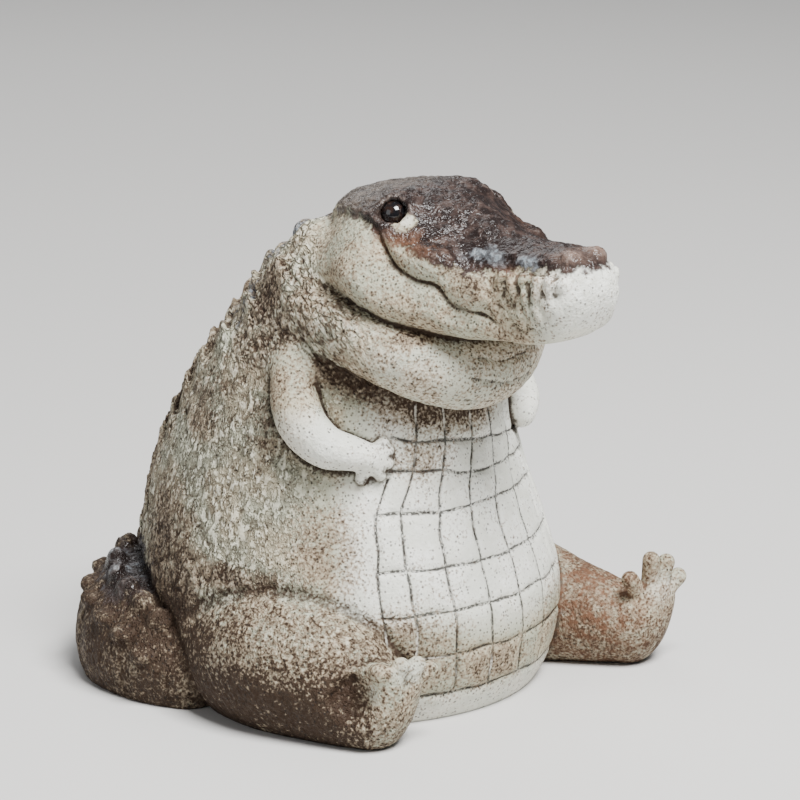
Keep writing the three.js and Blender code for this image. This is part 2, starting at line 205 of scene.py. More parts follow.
# Rounded scales. On the back: heights of the first and the last row and the step between rows, and
# for each column its distance from the spine and its radii. On the tail: from where to where they
# sit along it, how many, and the same two measures.
SCALE_HEIGHTS = (62.8, 14.0)
SCALE_PITCH = -5.2
SCALE_ROWS = [
    (3.2, (2.1, 1.4, 2.2)), (9.0, (2.2, 0.9, 2.2)), (14.6, (2.2, 0.4, 2.5)), (20.2, (2.2, 0.25, 2.4)),
]
SCALES_TALL_ABOVE = (40, 60)
SCALES_LOWEST = 0.5
TAIL_SCALE_SPAN = (0.14, 0.9)
TAIL_SCALES = 9
TAIL_SCALE_ROWS = [(3.0, (1.7, 2.6, 2.3)), (8.2, (1.6, 2.3, 1.3))]
TAIL_RINGS = 15
RING_DEPTH = 0.3

# Height on the head down to which the dark glaze runs, from the nape to the nose.
GLAZE_EDGE = [
    (-4, 74.0), (-7, 76.6), (-16, 77.0), (-20, 75.6), (-25, 74.0), (-30, 72.6), (-35, 70.8), (-38, 71.2),
    (-41, 71.8), (-44.3, 72.6), (-49.4, 72.8), (-53, 72.9), (-54.5, 73.8),
]
# The way in which the strokes on the neck run.
NECK_STROKES = (0.3, -0.6, -0.74)

# Colours of the clay, its iron wash and its glazes; the umber serves also for painted shade.
CLAY_COOL = (0.40, 0.40, 0.30)
CLAY_WARM = (0.47, 0.42, 0.30)
# Painted highlight for the rough skin between its carved strokes.
RIDGE_HIGHLIGHT = (0.70, 0.68, 0.56)
CLAY_WHITE = (0.85, 0.86, 0.80)
CHALK = (0.76, 0.73, 0.64)
TAN = (0.25, 0.18, 0.12)
UMBER_AND_SHADE = (0.032, 0.017, 0.009)
IRON = (0.016, 0.012, 0.010)
RUST = (0.185, 0.085, 0.045)
GLAZE_DARK = (0.016, 0.011, 0.010)
GLAZE_BROWN = (0.048, 0.031, 0.026)
GLAZE_BLUE = (0.175, 0.20, 0.22)
CAP = (0.10, 0.082, 0.066)
NOSE = (0.22, 0.15, 0.12)
WORN = (0.40, 0.34, 0.30)
PUPIL = (0.004, 0.004, 0.005)
PUPIL_BROWN = (0.02, 0.010, 0.007)


def pair(place, radii, strength):
    """A patch and its mirror image on the other side."""
    return (place, radii, strength), ((-place[0], *place[1:]), radii, strength)


# Soft patches of iron wash, some of them painted shade, as above the near thigh where the belly overhangs
# and on the nape: place, radii and strength.
WASH_AND_SHADE_PATCHES = [
    ((-16, -29, 12), (10, 9, 7), 0.75),
    ((-3, -33, 8), (12, 6, 3.5), 0.62),
    ((-23.5, -19.5, 28), (5, 7, 9), 0.65),
    ((-8.5, -25, 41), (5, 4, 4.5), 0.55),
    ((-12, -22, 50), (8, 6, 6), 0.5),
    ((-14, -27, 60.6), (8, 6, 2.2), 0.7),
    ((-20, -4, 58), (7, 9, 9), 0.65),
    ((-16.5, -2, 62), (6, 7, 8), 0.85),
    ((-21.4, -11.6, 51.5), (4.5, 4.5, 4.5), 0.75),
    ((-26, 8, 48), (8, 9, 9), 0.6),
    ((-25.2, -8.2, 48.5), (2.6, 4, 7), 0.9),
    ((-30, -7, 22.4), (9, 12, 2.6), 0.78),
    ((-33, 5, 15), (9, 10, 12), 0.95),
    ((-30, 10, 24), (9, 10, 10), 0.75),
    ((-9.2, -35.6, 69.4), (3.4, 4.4, 3.4), 0.85),
    ((-7, -43, 69.5), (3, 5, 4), 0.42),
    ((16, -30, 11), (9, 11, 6), 0.4),
    ((20, -4, 58), (7, 9, 9), 0.6),
    ((28, 12, 24), (9, 12, 14), 0.6),
    ((28, -24, 4), (10, 12, 5), 0.8),
]
# A paler spot of wash on the near heel: place and radii.
HEEL_SPOT = ((-25, -36, 3), (6.2, 7, 6))
TOE_PATCHES = [
    ((-22, -36.4, 12.6), (5.5, 3.4, 3.4), 1.0),
    ((-26.2, -33.4, 9.6), (2.2, 2.4, 3.6), 0.9),
    ((34.5, -37, 13), (8, 5, 5.5), 1.0),
]
# Spots of painted shade in the near instep's hollow and crease and between the near fingers: place, radii
# and strength.
PAINTED_SHADE_PATCHES = [
    ((-29.8, -30.6, 7.2), (2.4, 2.6, 2.8), 0.75),
    ((-28.6, -30.0, 9.6), (2.2, 2.2, 2.4), 0.9),
    ((-26.8, -29.9, 11.3), (2.0, 1.7, 1.1), 1.0),
    ((-25.4, -31.2, 12.4), (1.6, 1.8, 1.1), 1.0),
    ((-14.2, -22.6, 43.3), (1.4, 1.2, 0.5), 0.9),
    ((-13.4, -23.4, 41.5), (1.3, 1.2, 0.8), 0.9),
    ((-14.6, -23.2, 39.2), (1.2, 1.2, 0.7), 0.9),
    ((-16.9, -21.9, 38.0), (1.4, 1.2, 0.9), 1.0),
]
BARE_PATCHES = [
    ((-10.3, -23.6, 77.4), (2.1, 1.7, 1.6), 1.0),
    ((10.3, -23.6, 77.4), (2.1, 1.7, 1.6), 0.3),
]
GLAZE_PATCHES = [
    ((0, 2.5, 73), (9, 6, 4), 0.8),
    *pair((6, 6, 67), (7, 5, 6), 0.75),
    *pair((13, 6, 61), (5, 5, 6), 0.62),
    ((-25, 22, 18), (12, 9, 5), 0.9),
    ((-30, 18, 17), (8, 8, 5), 0.9),
]
BLUE_PATCHES = [
    *pair((6, 4, 69), (10, 7, 6), 0.75),
    *pair((14, 6, 60), (7, 6, 8), 0.6),
    ((0, 12, 60), (12, 9, 12), 0.65),
    ((0, 26, 40), (10, 10, 22), 0.5),
    ((-26, 22, 17), (12, 10, 6), 0.42),
    *pair((6.4, -36.5, 73.4), (2.8, 4.8, 2.2), 0.8),
    *pair((5.4, -44, 73.2), (2.2, 3.0, 1.6), 0.75),
]
RUST_PATCHES = [
    ((-12, -25, 74.2), (3.2, 6, 1.7), 0.85),
    ((12, -25, 74.2), (3.2, 6, 1.7), 0.4),
    *pair((6.8, -41, 71.6), (2, 6, 0.8), 0.45),
    ((28, -26, 9), (9, 12, 10), 0.9),
]
NOSE_PATCHES = pair((2.6, -50, 75.4), (2.2, 2.2, 1.8), 1.0)

# Lines scored across the front of the roll: from x to x, and degrees above its middle at each end.
ROLL_SCORES = [(-4.5, 5.5, 22, 12), (-8.5, 7.0, -4, -22), (-8.5, 1.0, -40, -48)]
SCORE_DEPTH = 0.3
SCORE_WIDTH = 0.45

# Carved strokes: how many times longer than wide they are, how wide, and their seed.
UPRIGHT_STROKES = (1.9, 1.9, 3)
SLANTING_STROKES = (2.4, 1.7, 11)
SNOUT_WRINKLES = (1.8, 1.7, 43)
STROKE_HEIGHT = 0.24
LUMP_HEIGHT = 0.2
WRINKLE_DEPTH = 0.34
SKIN_SCALE = 1.5

# The material's patterns in millimetres: sizes of its noises, spacing and radius of its specks, half
# widths of its lines, and heights of its bump.
FINE, GRAIN, MOTTLE, CLOUD = 0.45, 0.75, 1.9, 6.5
SMALL_SPECKS = (0.58, 0.23)
LARGE_SPECKS = (0.85, 0.22)
LINE_WIDTHS = {"plate_across": 0.29, "plate_up": 0.28, "score": 0.22}
CARVING_HEIGHT = 0.42
SKIN_HEIGHT = 0.16
GLAZE_HEIGHT = 0.2
PIT_HEIGHT = 0.2
LINE_HEIGHT = -0.1
SPECULAR = 0.25

# A distance that counts as far from everything, how sharply one part of the body gives way to the
# next, how much the cap of glaze fills hollows, and the size of the tables of seeded numbers.
FAR_OFF = 9.0
PART_EDGE = 0.4
CAP_FILLS = 0.75
TABLE = 4096


def smooth_step(value, low, high):
    t = np.clip((value - low) / (high - low), 0, 1)
    return t * t * (3 - 2 * t)


def lerp(a, b, t):
    return a + (b - a) * t


def smooth_min(a, b, width):
    mixed = np.maximum(width - np.abs(a - b), 0) / width
    return np.minimum(a, b) - mixed * mixed * width * 0.25


def smooth_max(a, b, width):
    return -smooth_min(-a, -b, width)


def curve_through(rows, per_span):
    """Rows of numbers on a smooth curve through the given ones."""
    rows = np.asarray(rows, float)
    padded = np.vstack([2 * rows[0] - rows[1], rows, 2 * rows[-1] - rows[-2]])
    t = np.linspace(0, 1, per_span, endpoint=False)[:, None]
    spans = [
        0.5 * (2 * b + (c - a) * t + (2 * a - 5 * b + 4 * c - d) * t**2 + (3 * b - a - 3 * c + d) * t**3)
        for a, b, c, d in zip(padded, padded[1:], padded[2:], padded[3:])
    ]
    return np.vstack([*spans, rows[-1:]])


def mirrored(rows):
    return [(-row[0], *row[1:]) for row in rows]


# Solid shapes. Each has the corners of its box, and gives the distance of points from its surface.
class Torso:
    def __init__(self):
        self.z, self.radius, self.y = curve_through(TORSO, 8).T
        self.low = np.array([-36.0, -36.0, -4.0])
        self.high = np.array([36.0, 36.0, 78.0])
        self.lean = 1 / np.hypot(1, np.gradient(self.radius, self.z))

    def distance(self, x, y, z):
        columns = self.radius, self.y, self.lean
        radius, centre, lean = (np.interp(z, self.z, column).astype(np.float32) for column in columns)
        side = (np.sqrt(x**2 + (y - centre) ** 2) - radius) * lean
        return np.maximum(side, z - self.z[-1])


class Tube:
    def __init__(self, stations, tall=1.0, per_span=5):
        line = curve_through(stations, per_span) if len(stations) > 2 else np.asarray(stations, float)
        reach = line[:, 3:] * [1, 1, tall]
        self.low = (line[:, :3] - reach).min(0)
        self.high = (line[:, :3] + reach).max(0)
        self.tall = tall
        self.points = (line[:, :3] / [1, 1, tall]).tolist()
        self.radii = line[:, 3].tolist()

    def distance(self, x, y, z, where=False):
        z = z / self.tall
        best = along = None
        spans = zip(self.points, self.points[1:], self.radii, self.radii[1:])
        for n, (a, b, near, far) in enumerate(spans):
            run = [q - p for p, q in zip(a, b)]
            length = sum(r * r for r in run)
            px, py, pz = x - a[0], y - a[1], z - a[2]
            t = np.clip((px * run[0] + py * run[1] + pz * run[2]) / length, 0, 1)
            gap = np.sqrt((px - t * run[0]) ** 2 + (py - t * run[1]) ** 2 + (pz - t * run[2]) ** 2)
            gap = gap - (near + (far - near) * t)
            if best is None:
                best, along = gap, t
            else:
                along = np.where(gap < best, n + t, along) if where else along
                best = np.minimum(best, gap)
        return (best, along / (len(self.points) - 1)) if where else best


class Ellipsoid:
    def __init__(self, centre, radii, turn=(0, 0, 0)):
        ax, ay, az = (math.radians(angle) for angle in turn)
        rx = np.array([[1, 0, 0], [0, math.cos(ax), -math.sin(ax)], [0, math.sin(ax), math.cos(ax)]])
        ry = np.array([[math.cos(ay), 0, math.sin(ay)], [0, 1, 0], [-math.sin(ay), 0, math.cos(ay)]])
        rz = np.array([[math.cos(az), -math.sin(az), 0], [math.sin(az), math.cos(az), 0], [0, 0, 1]])
        self.axes = (rx @ ry @ rz).T.tolist()
        self.centre, self.radii = centre, radii
        self.low = np.array(centre) - max(radii)
        self.high = np.array(centre) + max(radii)

    def distance(self, x, y, z):
        px, py, pz = x - self.centre[0], y - self.centre[1], z - self.centre[2]
        local = [(px * a[0] + py * a[1] + pz * a[2]) / r for a, r in zip(self.axes, self.radii)]
        size = np.sqrt(sum(q * q for q in local)) + 1e-6
        steep = np.sqrt(sum((q / r) ** 2 for q, r in zip(local, self.radii))) + 1e-6
        return size * (size - 1) / steep


class Ring:
    """A round hoop about an axis."""

    def __init__(self, centre, axis, radius, thickness):
        self.centre, self.radius, self.thickness = centre, radius, thickness
        self.axis = (np.array(axis) / np.linalg.norm(axis)).tolist()
        self.low = np.array(centre) - radius - thickness
        self.high = np.array(centre) + radius + thickness

    def distance(self, x, y, z):
        px, py, pz = x - self.centre[0], y - self.centre[1], z - self.centre[2]
        along = px * self.axis[0] + py * self.axis[1] + pz * self.axis[2]
        across = np.sqrt(np.maximum(px**2 + py**2 + pz**2 - along**2, 0))
        return np.sqrt((across - self.radius) ** 2 + along**2) - self.thickness


class Head:
    """The head as one table of how far its surface lies from a middle line, by place and angle."""

    TURNS = 360
    ROW = 0.4

    def __init__(self):
        rows = curve_through(HEAD, 10)
        rows = rows[np.argsort(rows[:, 0])]
        self.first, self.last = rows[0, 0], rows[-1, 0]
        places = np.arange(self.first, self.last, self.ROW)
        columns = [np.interp(places, rows[:, 0], rows[:, i]) for i in range(1, 8)]
        self.middle = 0.5 * (columns[0] + columns[6])
        turns = np.linspace(-np.pi, np.pi, self.TURNS + 1)
        self.reach = np.empty((len(places), self.TURNS + 1))
        for i, y in enumerate(places):
            ring = self.ring(y, *[c[i] for c in columns])
            angle = np.arctan2(ring[:, 1] - self.middle[i], ring[:, 0])
            far = np.hypot(ring[:, 0], ring[:, 1] - self.middle[i])
            order = np.argsort(angle)
            self.reach[i] = np.interp(turns, angle[order], far[order], period=2 * np.pi)
        along = np.gradient(self.reach, self.ROW, axis=0)
        around = np.gradient(self.reach, turns[1] - turns[0], axis=1) / np.maximum(self.reach, 0.5)
        self.lean = 1 / np.sqrt(1 + along**2 + around**2)
        self.low = np.array([-20.0, self.first, 58.0])
        self.high = np.array([20.0, self.last, 82.0])

    @staticmethod
    def ring(y, top, edge, edge_z, upper, mouth, jaw, chin):
        opening = smooth_step(-y, *MOUTH_OPENS) * (1 - smooth_step(-y, *MOUTH_CLOSES)) * MOUTH_DEPTH
        gap = min(MOUTH_GAP, 0.12 * (top - chin), 0.4 * (mouth - chin))
        lip = lerp(upper, min(upper, jaw) - 0.2, 0.35)
        corner = mouth - gap
        parted = smooth_step(-y, *MOUTH_OPENS)
        side = [
            (0.55 * edge, lerp(top, edge_z, 0.25)),
            (edge, edge_z),
            (lerp(edge, upper, 0.55), lerp(edge_z, mouth, 0.25)),
            (upper, lerp(edge_z, mouth, 0.6)),
            (lip, mouth + gap),
            (max(lip - opening, 0.2), mouth),
            (lerp(lip, jaw, lerp(0.16, 0.35, parted)), corner),
            (lerp(lip, jaw, lerp(0.66, 0.85, parted)), lerp(corner, chin, 0.2)),
            (jaw, lerp(corner, chin, 0.45)),
            (0.82 * jaw, lerp(corner, chin, 0.72)),
            (0.48 * jaw, lerp(corner, chin, 0.92)),
        ]
        ring = [(0, top), *side, (0, chin), *[(-x, z) for x, z in reversed(side)]]
        return curve_through([ring[-1], *ring, ring[0], ring[1]], 6)[6:-6]

    def distance(self, x, y, z):
        row = np.clip((y - self.first) / self.ROW, 0, len(self.middle) - 1.001)
        middle = np.interp(row, np.arange(len(self.middle)), self.middle).astype(np.float32)
        turn = (np.arctan2(z - middle, x) + np.pi) * (self.TURNS / (2 * np.pi))
        turn = np.clip(turn, 0, self.TURNS - 0.001)
        row = np.broadcast_to(row, turn.shape)
        r0, t0 = row.astype(np.int32), turn.astype(np.int32)
        fr, ft = row - r0, turn - t0
        width = self.TURNS + 1

        def read(table):
            flat, at = table.ravel().astype(np.float32), r0 * width + t0
            near = flat[at] * (1 - ft) + flat[at + 1] * ft
            far = flat[at + width] * (1 - ft) + flat[at + width + 1] * ft
            return near * (1 - fr) + far * fr

        across = np.sqrt(x**2 + (z - middle) ** 2)
        side = (across - read(self.reach)) * read(self.lean)
        past = np.maximum(self.first - y, y - self.last)
        return np.where(past > 0, np.sqrt(np.maximum(side, 0) ** 2 + past**2), side).astype(np.float32)


# The clay: a grid of distances that shapes are pressed onto or cut out of.
class Clay:
    def __init__(self, low, high, step):
        self.step = step
        self.axes = [np.arange(a, b, step, dtype=np.float32) for a, b in zip(low, high)]
        self.low = np.array([axis[0] for axis in self.axes])
        self.values = np.full([len(axis) for axis in self.axes], FAR_OFF, np.float32)

    def near(self, shape, margin):
        spans = []
        for axis, low, high in zip(self.axes, shape.low - margin, shape.high + margin):
            first, last = np.searchsorted(axis, [low, high])
            spans.append(slice(max(first - 1, 0), min(last + 1, len(axis))))
        x, y, z = (axis[span] for axis, span in zip(self.axes, spans))
        return tuple(spans), x[:, None, None], y[None, :, None], z[None, None, :]

    def add(self, shape, blend, furrow=0.0, furrow_width=0.6, soft=None):
        """Joins a shape on, with a furrow pressed into the clay along its edge, or softly where asked."""
        reach = blend if soft is None else SOFT_BLEND
        spans, x, y, z = self.near(shape, reach + 2 * furrow_width + 1)
        gap = shape.distance(x, y, z)
        if soft is not None:
            ease = soft(y, z)
            blend = lerp(blend, SOFT_BLEND, ease)
            furrow = furrow * (1 - ease)
        pressed = self.values[spans] + furrow * np.exp(-((gap / furrow_width) ** 2))
        self.values[spans] = smooth_min(pressed, gap, blend)

    def cut(self, shape, blend):
        spans, x, y, z = self.near(shape, blend + 1)
        self.values[spans] = smooth_max(self.values[spans], -shape.distance(x, y, z), blend)

    def score(self, line, depth, width):
        """Scores a rounded groove along a tube of no thickness."""
        spans, x, y, z = self.near(line, 3 * width)
        self.values[spans] += depth * np.exp(-((line.distance(x, y, z) / width) ** 2))

    def surface(self):
        """Points and four-sided faces of the zero surface."""
        v = self.values
        inside = v < 0
        count = np.zeros([n - 1 for n in v.shape], np.uint8)
        corners = [(i, j, k) for i in (0, 1) for j in (0, 1) for k in (0, 1)]
        for i, j, k in corners:
            count += inside[i : v.shape[0] - 1 + i, j : v.shape[1] - 1 + j, k : v.shape[2] - 1 + k]
        cells = np.argwhere((count > 0) & (count < 8)).astype(np.int32)
        at = {c: v[tuple((cells + c).T)] for c in corners}
        total = np.zeros((len(cells), 3), np.float32)
        crossings = np.zeros(len(cells), np.float32)
        for a in corners:
            for axis in range(3):
                if a[axis]:
                    continue
                b = tuple(1 if n == axis else q for n, q in enumerate(a))
                crossed = (at[a] < 0) != (at[b] < 0)
                gap = np.where(crossed, at[a] - at[b], 1)
                t = np.where(crossed, at[a] / gap, 0)
                for n in range(3):
                    total[:, n] += crossed * (a[n] + (t if n == axis else 0))
                crossings += crossed
        points = (cells + total / crossings[:, None]) * self.step + self.low
        number = np.full(count.shape, -1, np.int32)
        number[tuple(cells.T)] = np.arange(len(cells), dtype=np.int32)
        faces = []
        for axis in range(3):
            u, w = (axis + 1) % 3, (axis + 2) % 3
            low = [slice(1, -1)] * 3
            low[axis] = slice(0, v.shape[axis] - 1)
            high = list(low)
            high[axis] = slice(1, v.shape[axis])
            crossed = inside[tuple(low)] != inside[tuple(high)]
            edges = np.argwhere(crossed)
            leaving = inside[tuple(low)][crossed]
            edges[:, u] += 1
            edges[:, w] += 1
            around = []
            for du, dw in ((-1, -1), (0, -1), (0, 0), (-1, 0)):
                cell = edges.copy()
                cell[:, u] += du
                cell[:, w] += dw
                around.append(number[tuple(cell.T)])
            quads = np.stack(around, 1)
            faces.append(np.where(leaving[:, None], quads, quads[:, ::-1]))
        return points, np.vstack(faces)


# Repeatable patterns in space, from tables of seeded numbers.
dice = np.random.default_rng(7)
SHUFFLED = dice.permutation(TABLE).astype(np.int64)
DIRECTIONS = dice.normal(size=(TABLE, 3))
DIRECTIONS /= np.linalg.norm(DIRECTIONS, axis=1)[:, None]
SCATTER = dice.random((TABLE, 3))


def lottery(cell, seed):
    """A number for each cell of space, the same each time."""
    n = seed * 131
    for axis in range(3):
        n = SHUFFLED[(n + cell[..., axis]) % TABLE]
    return n


def noise(points, seed=0):
    """Smooth noise from about -1 to 1, with features one unit wide."""
    cell = np.floor(points).astype(np.int64)
    part = points - cell
    fade = part**3 * (part * (part * 6 - 15) + 10)
    total = 0
    for corner in np.ndindex(2, 2, 2):
        towards = DIRECTIONS[lottery(cell + corner, seed)]
        weight = np.prod(np.where(corner, fade, 1 - fade), axis=1)
        total = total + weight * ((part - corner) * towards).sum(1)
    return total * 1.6


def layered(points, layers, seed=0):
    return sum(noise(points * 2**n, seed + n) / 2**n for n in range(layers))


def cells(points, seed=0):
    """Distances to the nearest two of the scattered seeds, and a number for the nearest one."""
    cell = np.floor(points).astype(np.int64)
    first = np.full(len(points), FAR_OFF)
    second, name = first.copy(), np.zeros(len(points))
    for offset in np.ndindex(3, 3, 3):
        other = cell + offset - 1
        pick = lottery(other, seed)
        gap = np.linalg.norm(other + SCATTER[pick] - points, axis=1)
        nearer = gap < first
        second = np.where(nearer, first, np.minimum(second, gap))
        name = np.where(nearer, pick / TABLE, name)
        first = np.where(nearer, gap, first)
    return first, second, name


torso = Torso()
head = Head()
roll = Tube(mirrored(ROLL_HALF) + ROLL_HALF[-2::-1])
arms = [Tube(mirrored(ARM)), Tube(ARM)]
right_leg = Tube(RIGHT_LEG)
left_leg = Tube(LEFT_LEG)
tail = Tube(TAIL, TAIL_TALL)
right_pad = Ellipsoid(*RIGHT_PAD)
left_pad = Ellipsoid(*LEFT_PAD)


def digit(root, tip, root_radius, tip_radius=None):
    return Tube([(*root, root_radius), (*tip, tip_radius or root_radius)])


def round_body(place, side):
    """A place on the near side as it is, or on the far side and turned further round the body."""
    turn = math.radians(FAR_HAND_TURN) if side > 0 else 0.0
    x, y, z = side * place[0], place[1], place[2]
    return x * math.cos(turn) - y * math.sin(turn), x * math.sin(turn) + y * math.cos(turn), z


fingers = [
    digit(round_body(HAND_ROOT, side), round_body(tip, side), *FINGER_RADII)
    for side in (-1, 1)
    for tip in FINGER_TIPS
]
right_toes = [digit(RIGHT_ANKLE, tip, TOE_RADIUS) for tip in RIGHT_TOES]
left_toes = [digit(LEFT_ANKLE, tip, TOE_RADIUS) for tip in LEFT_TOES]


def both_sides(place, radii, turn=(0, 0, 0)):
    x, y, z = place
    a, b, c = turn
    return [Ellipsoid((-x, y, z), radii, (a, -b, -c)), Ellipsoid((x, y, z), radii, turn)]


def on_torso(across, z, out=0.0):
    """A place on the torso's back, by its distance along the surface from the spine and its height."""
    radius = float(np.interp(z, torso.z, torso.radius))
    turn = across / radius
    reach = radius + out
    return reach * math.sin(turn), float(np.interp(z, torso.z, torso.y)) + reach * math.cos(turn), z


def back_scales():
    """Rounded scales down the back, tall beside the spine and lower further out."""
    for z in np.arange(*SCALE_HEIGHTS, SCALE_PITCH):
        for row, (across, radii) in enumerate(SCALE_ROWS):
            for side in (-1, 1):
                lift = 0.5 * SCALE_PITCH * (row % 2)
                x, y, height = on_torso(side * across, z - lift)
                heading = math.degrees(-math.atan2(x, y - float(np.interp(height, torso.z, torso.y))))
                tall = lerp(SCALES_LOWEST, 1, float(smooth_step(height, *SCALES_TALL_ABOVE)))
                yield Ellipsoid((x, y, height), (radii[0], radii[1] * tall, radii[2]), (0, 0, heading))


def tail_scales():
    line = curve_through(TAIL, 12)
    for t in np.linspace(*TAIL_SCALE_SPAN, TAIL_SCALES):
        n = int(t * (len(line) - 1))
        x, y, z, radius = line[n]
        run = line[min(n + 2, len(line) - 1)] - line[max(n - 2, 0)]
        heading = math.atan2(run[1], run[0]) - math.pi / 2
        for across, radii in TAIL_SCALE_ROWS:
            for side in (-1, 1):
                lean = side * across / radius
                out = radius * math.sin(lean)
                place = (x + out * math.cos(heading), y + out * math.sin(heading))
                up = z + TAIL_TALL * radius * math.cos(lean)
                yield Ellipsoid((*place, up), radii, (0, 0, math.degrees(heading)))


# Where a part runs softly into the rest, from nought at its furrow to one.
def into_haunch(y, z):
    return 0.7 * smooth_step(y, -4, 10)


def round_nape(y, z):
    return smooth_step(y, -17, -7)


def behind_cheeks(y, z):
    return smooth_step(y, -20, -10) * smooth_step(z, 65, 69) * smooth_step(z, 76, 72)


def into_shoulder(y, z):
    return 0.6 * smooth_step(z, 50, 55)


def model():
    """The whole figure pressed together, with a flat underside."""
    clay = Clay(*CLAY_BOX, STEP)

    def press(name, *shapes, soft=None):
        for shape in shapes:
            clay.add(shape, *PRESSED[name], soft=soft)

    press("torso", torso)
    press("back_scale", *back_scales())
    for leg, pad, toes in ((right_leg, right_pad, right_toes), (left_leg, left_pad, left_toes)):
        press("leg", leg, soft=into_haunch)
        press("pad", pad)
        press("toe", *toes)
    press("instep", Ellipsoid(*INSTEP))
    clay.cut(Ellipsoid(*INSTEP_HOLLOW), *PRESSED["instep_hollow"])
    clay.score(Tube(FOOT_CREASE), CREASE_DEPTH, CREASE_WIDTH)
    press("sole", Ellipsoid(*SOLE_RIDGE))
    clay.cut(Ellipsoid(*SOLE_PANEL), *PRESSED["sole"])
    press("tail", tail)
    press("tail_scale", *tail_scales())
    press("roll", roll, soft=round_nape)
    press("neck", *both_sides(*NECK_FILL))
    press("head", head, soft=behind_cheeks)
    for lump in NAPE_LUMPS:
        press("nape", *both_sides(*lump))
    press("arm", *arms, soft=into_shoulder)
    press("finger", *fingers)
    for lump, blend in FACE_LUMPS:
        for part in both_sides(*lump):
            clay.add(part, blend)
    for pit, blend in FACE_PITS:
        for part in both_sides(*pit):
            clay.cut(part, blend)
    for side in (-1, 1):
        at, axis = (side * EYE[0], *EYE[1:]), (side * EYE_FACES[0], *EYE_FACES[1:])
        socket = [p + SOCKET_OUT * q for p, q in zip(at, axis)]
        clay.cut(Ellipsoid(socket, (SOCKET_RADIUS,) * 3), *PRESSED["socket"])
        lid = [p + LID_OUT * q for p, q in zip(at, axis)]
        press("lid", Ring(lid, axis, LID_RADIUS, LID_THICKNESS))
        clay.cut(Ellipsoid(at, (EYE_RADIUS + EYE_ROOM,) * 3), *PRESSED["eye"])
    low = clay.axes[2][None, None, :]
    clay.values = np.maximum(clay.values, -low)
    return clay.surface()


def noise_along(points, direction, stretch, size, seed, layers=2):
    """Noise drawn out along a direction, with features of a size in millimetres."""
    direction = np.asarray(direction, float) / np.linalg.norm(direction)
    along = points @ direction
    squeezed = points - (1 - 1 / stretch) * along[:, None] * direction
    return layered(squeezed / size, layers, seed)


def along_table(table, column, at):
    """A column of a table, read at places in its first column, whose numbers fall down the table."""
    rows = np.array(table)[::-1]
    return np.interp(at, rows[:, 0], rows[:, column])


def mouth_height(y):
    return along_table(HEAD, 5, y)


def glaze_edge(zones):
    """The height on the head down to which the dark glaze runs, by place."""
    return along_table(GLAZE_EDGE, 1, zones.y)


def roll_line_gap(zones, start, end, rise_from, rise_to):
    """How far points lie from a line across the front of the roll."""
    y, z, radius = (along_table(ROLL_HALF, column, zones.side) for column in (1, 2, 3))
    rise = np.degrees(np.arctan2(zones.z - z, y - zones.y))
    wanted = np.interp(zones.x, [start, end], [rise_from, rise_to])
    past = np.maximum(np.maximum(start - zones.x, zones.x - end), 0)
    return np.hypot(np.radians(rise - wanted) * radius, past)


PARTS = {
    "torso": [torso], "head": [head], "roll": [roll], "arms": arms, "hands": fingers,
    "right_leg": [right_leg], "left_leg": [left_leg], "right_foot": [right_pad, *right_toes],
    "left_foot": [left_pad, *left_toes], "tail": [tail],
}
# Parts with no seam between them.
ONE_SKIN = [
    ("torso",), ("head",), ("roll",), ("arms", "hands"), ("right_leg", "right_foot"),
    ("left_leg", "left_foot"), ("tail",),
]


class Zones:
    """Which part of the body each point lies on, and where it is on that part."""

    def __init__(self, points):
        x, y, z = points.T
        self.x, self.y, self.z = x, y, z
        self.side = np.abs(x)
        gaps = {
            name: np.minimum.reduce([shape.distance(x, y, z) for shape in shapes])
            for name, shapes in PARTS.items()
        }
        self.gaps = gaps
        shares = {name: np.exp(np.clip(-gap / PART_EDGE, -30, 30)) for name, gap in gaps.items()}
        whole = sum(shares.values())
        self.share = {name: share / whole for name, share in shares.items()}
        parts = [np.minimum.reduce([gaps[name] for name in names]) for names in ONE_SKIN]
        self.joint = np.sort(np.abs(parts), axis=0)[1]
        centre = np.interp(z, torso.z, torso.y)
        self.angle = np.degrees(np.arctan2(x, centre - y))
        twist = CHEST_TWIST[0] * smooth_step(z, *CHEST_TWIST[1:])
        self.off_front = self.angle - PLATE_CENTRE - twist
        self.from_spine = 180 - np.abs(self.angle)
        flank = smooth_step(np.abs(self.off_front), 48, 76)
        neck = smooth_step(z, 46, 52) * smooth_step(np.abs(self.off_front), 26, 52)
        self.smooth_front = self.share["torso"] * (1 - np.clip(flank + neck, 0, 1))
        leg = 0.42 * self.share["right_leg"] + 0.3 * self.share["left_leg"]
        scaled = 1 - 0.55 * smooth_step(self.from_spine, 48, 26)
        rough = self.share["torso"] * np.maximum(flank, 0.8 * neck) * scaled
        rough = rough + leg + 0.55 * self.share["tail"]
        self.rough = np.clip(rough + 0.9 * self.share["roll"] * smooth_step(y, -27, -18), 0, 1)
        self.slanted = smooth_step(z, 48, 56)

    def near(self, place, radii):
        """One at a place, and less with distance from it, for the radii of a soft round patch."""
        gap = sum(((p - q) / r) ** 2 for p, q, r in zip((self.x, self.y, self.z), place, radii))
        return np.exp(-gap)


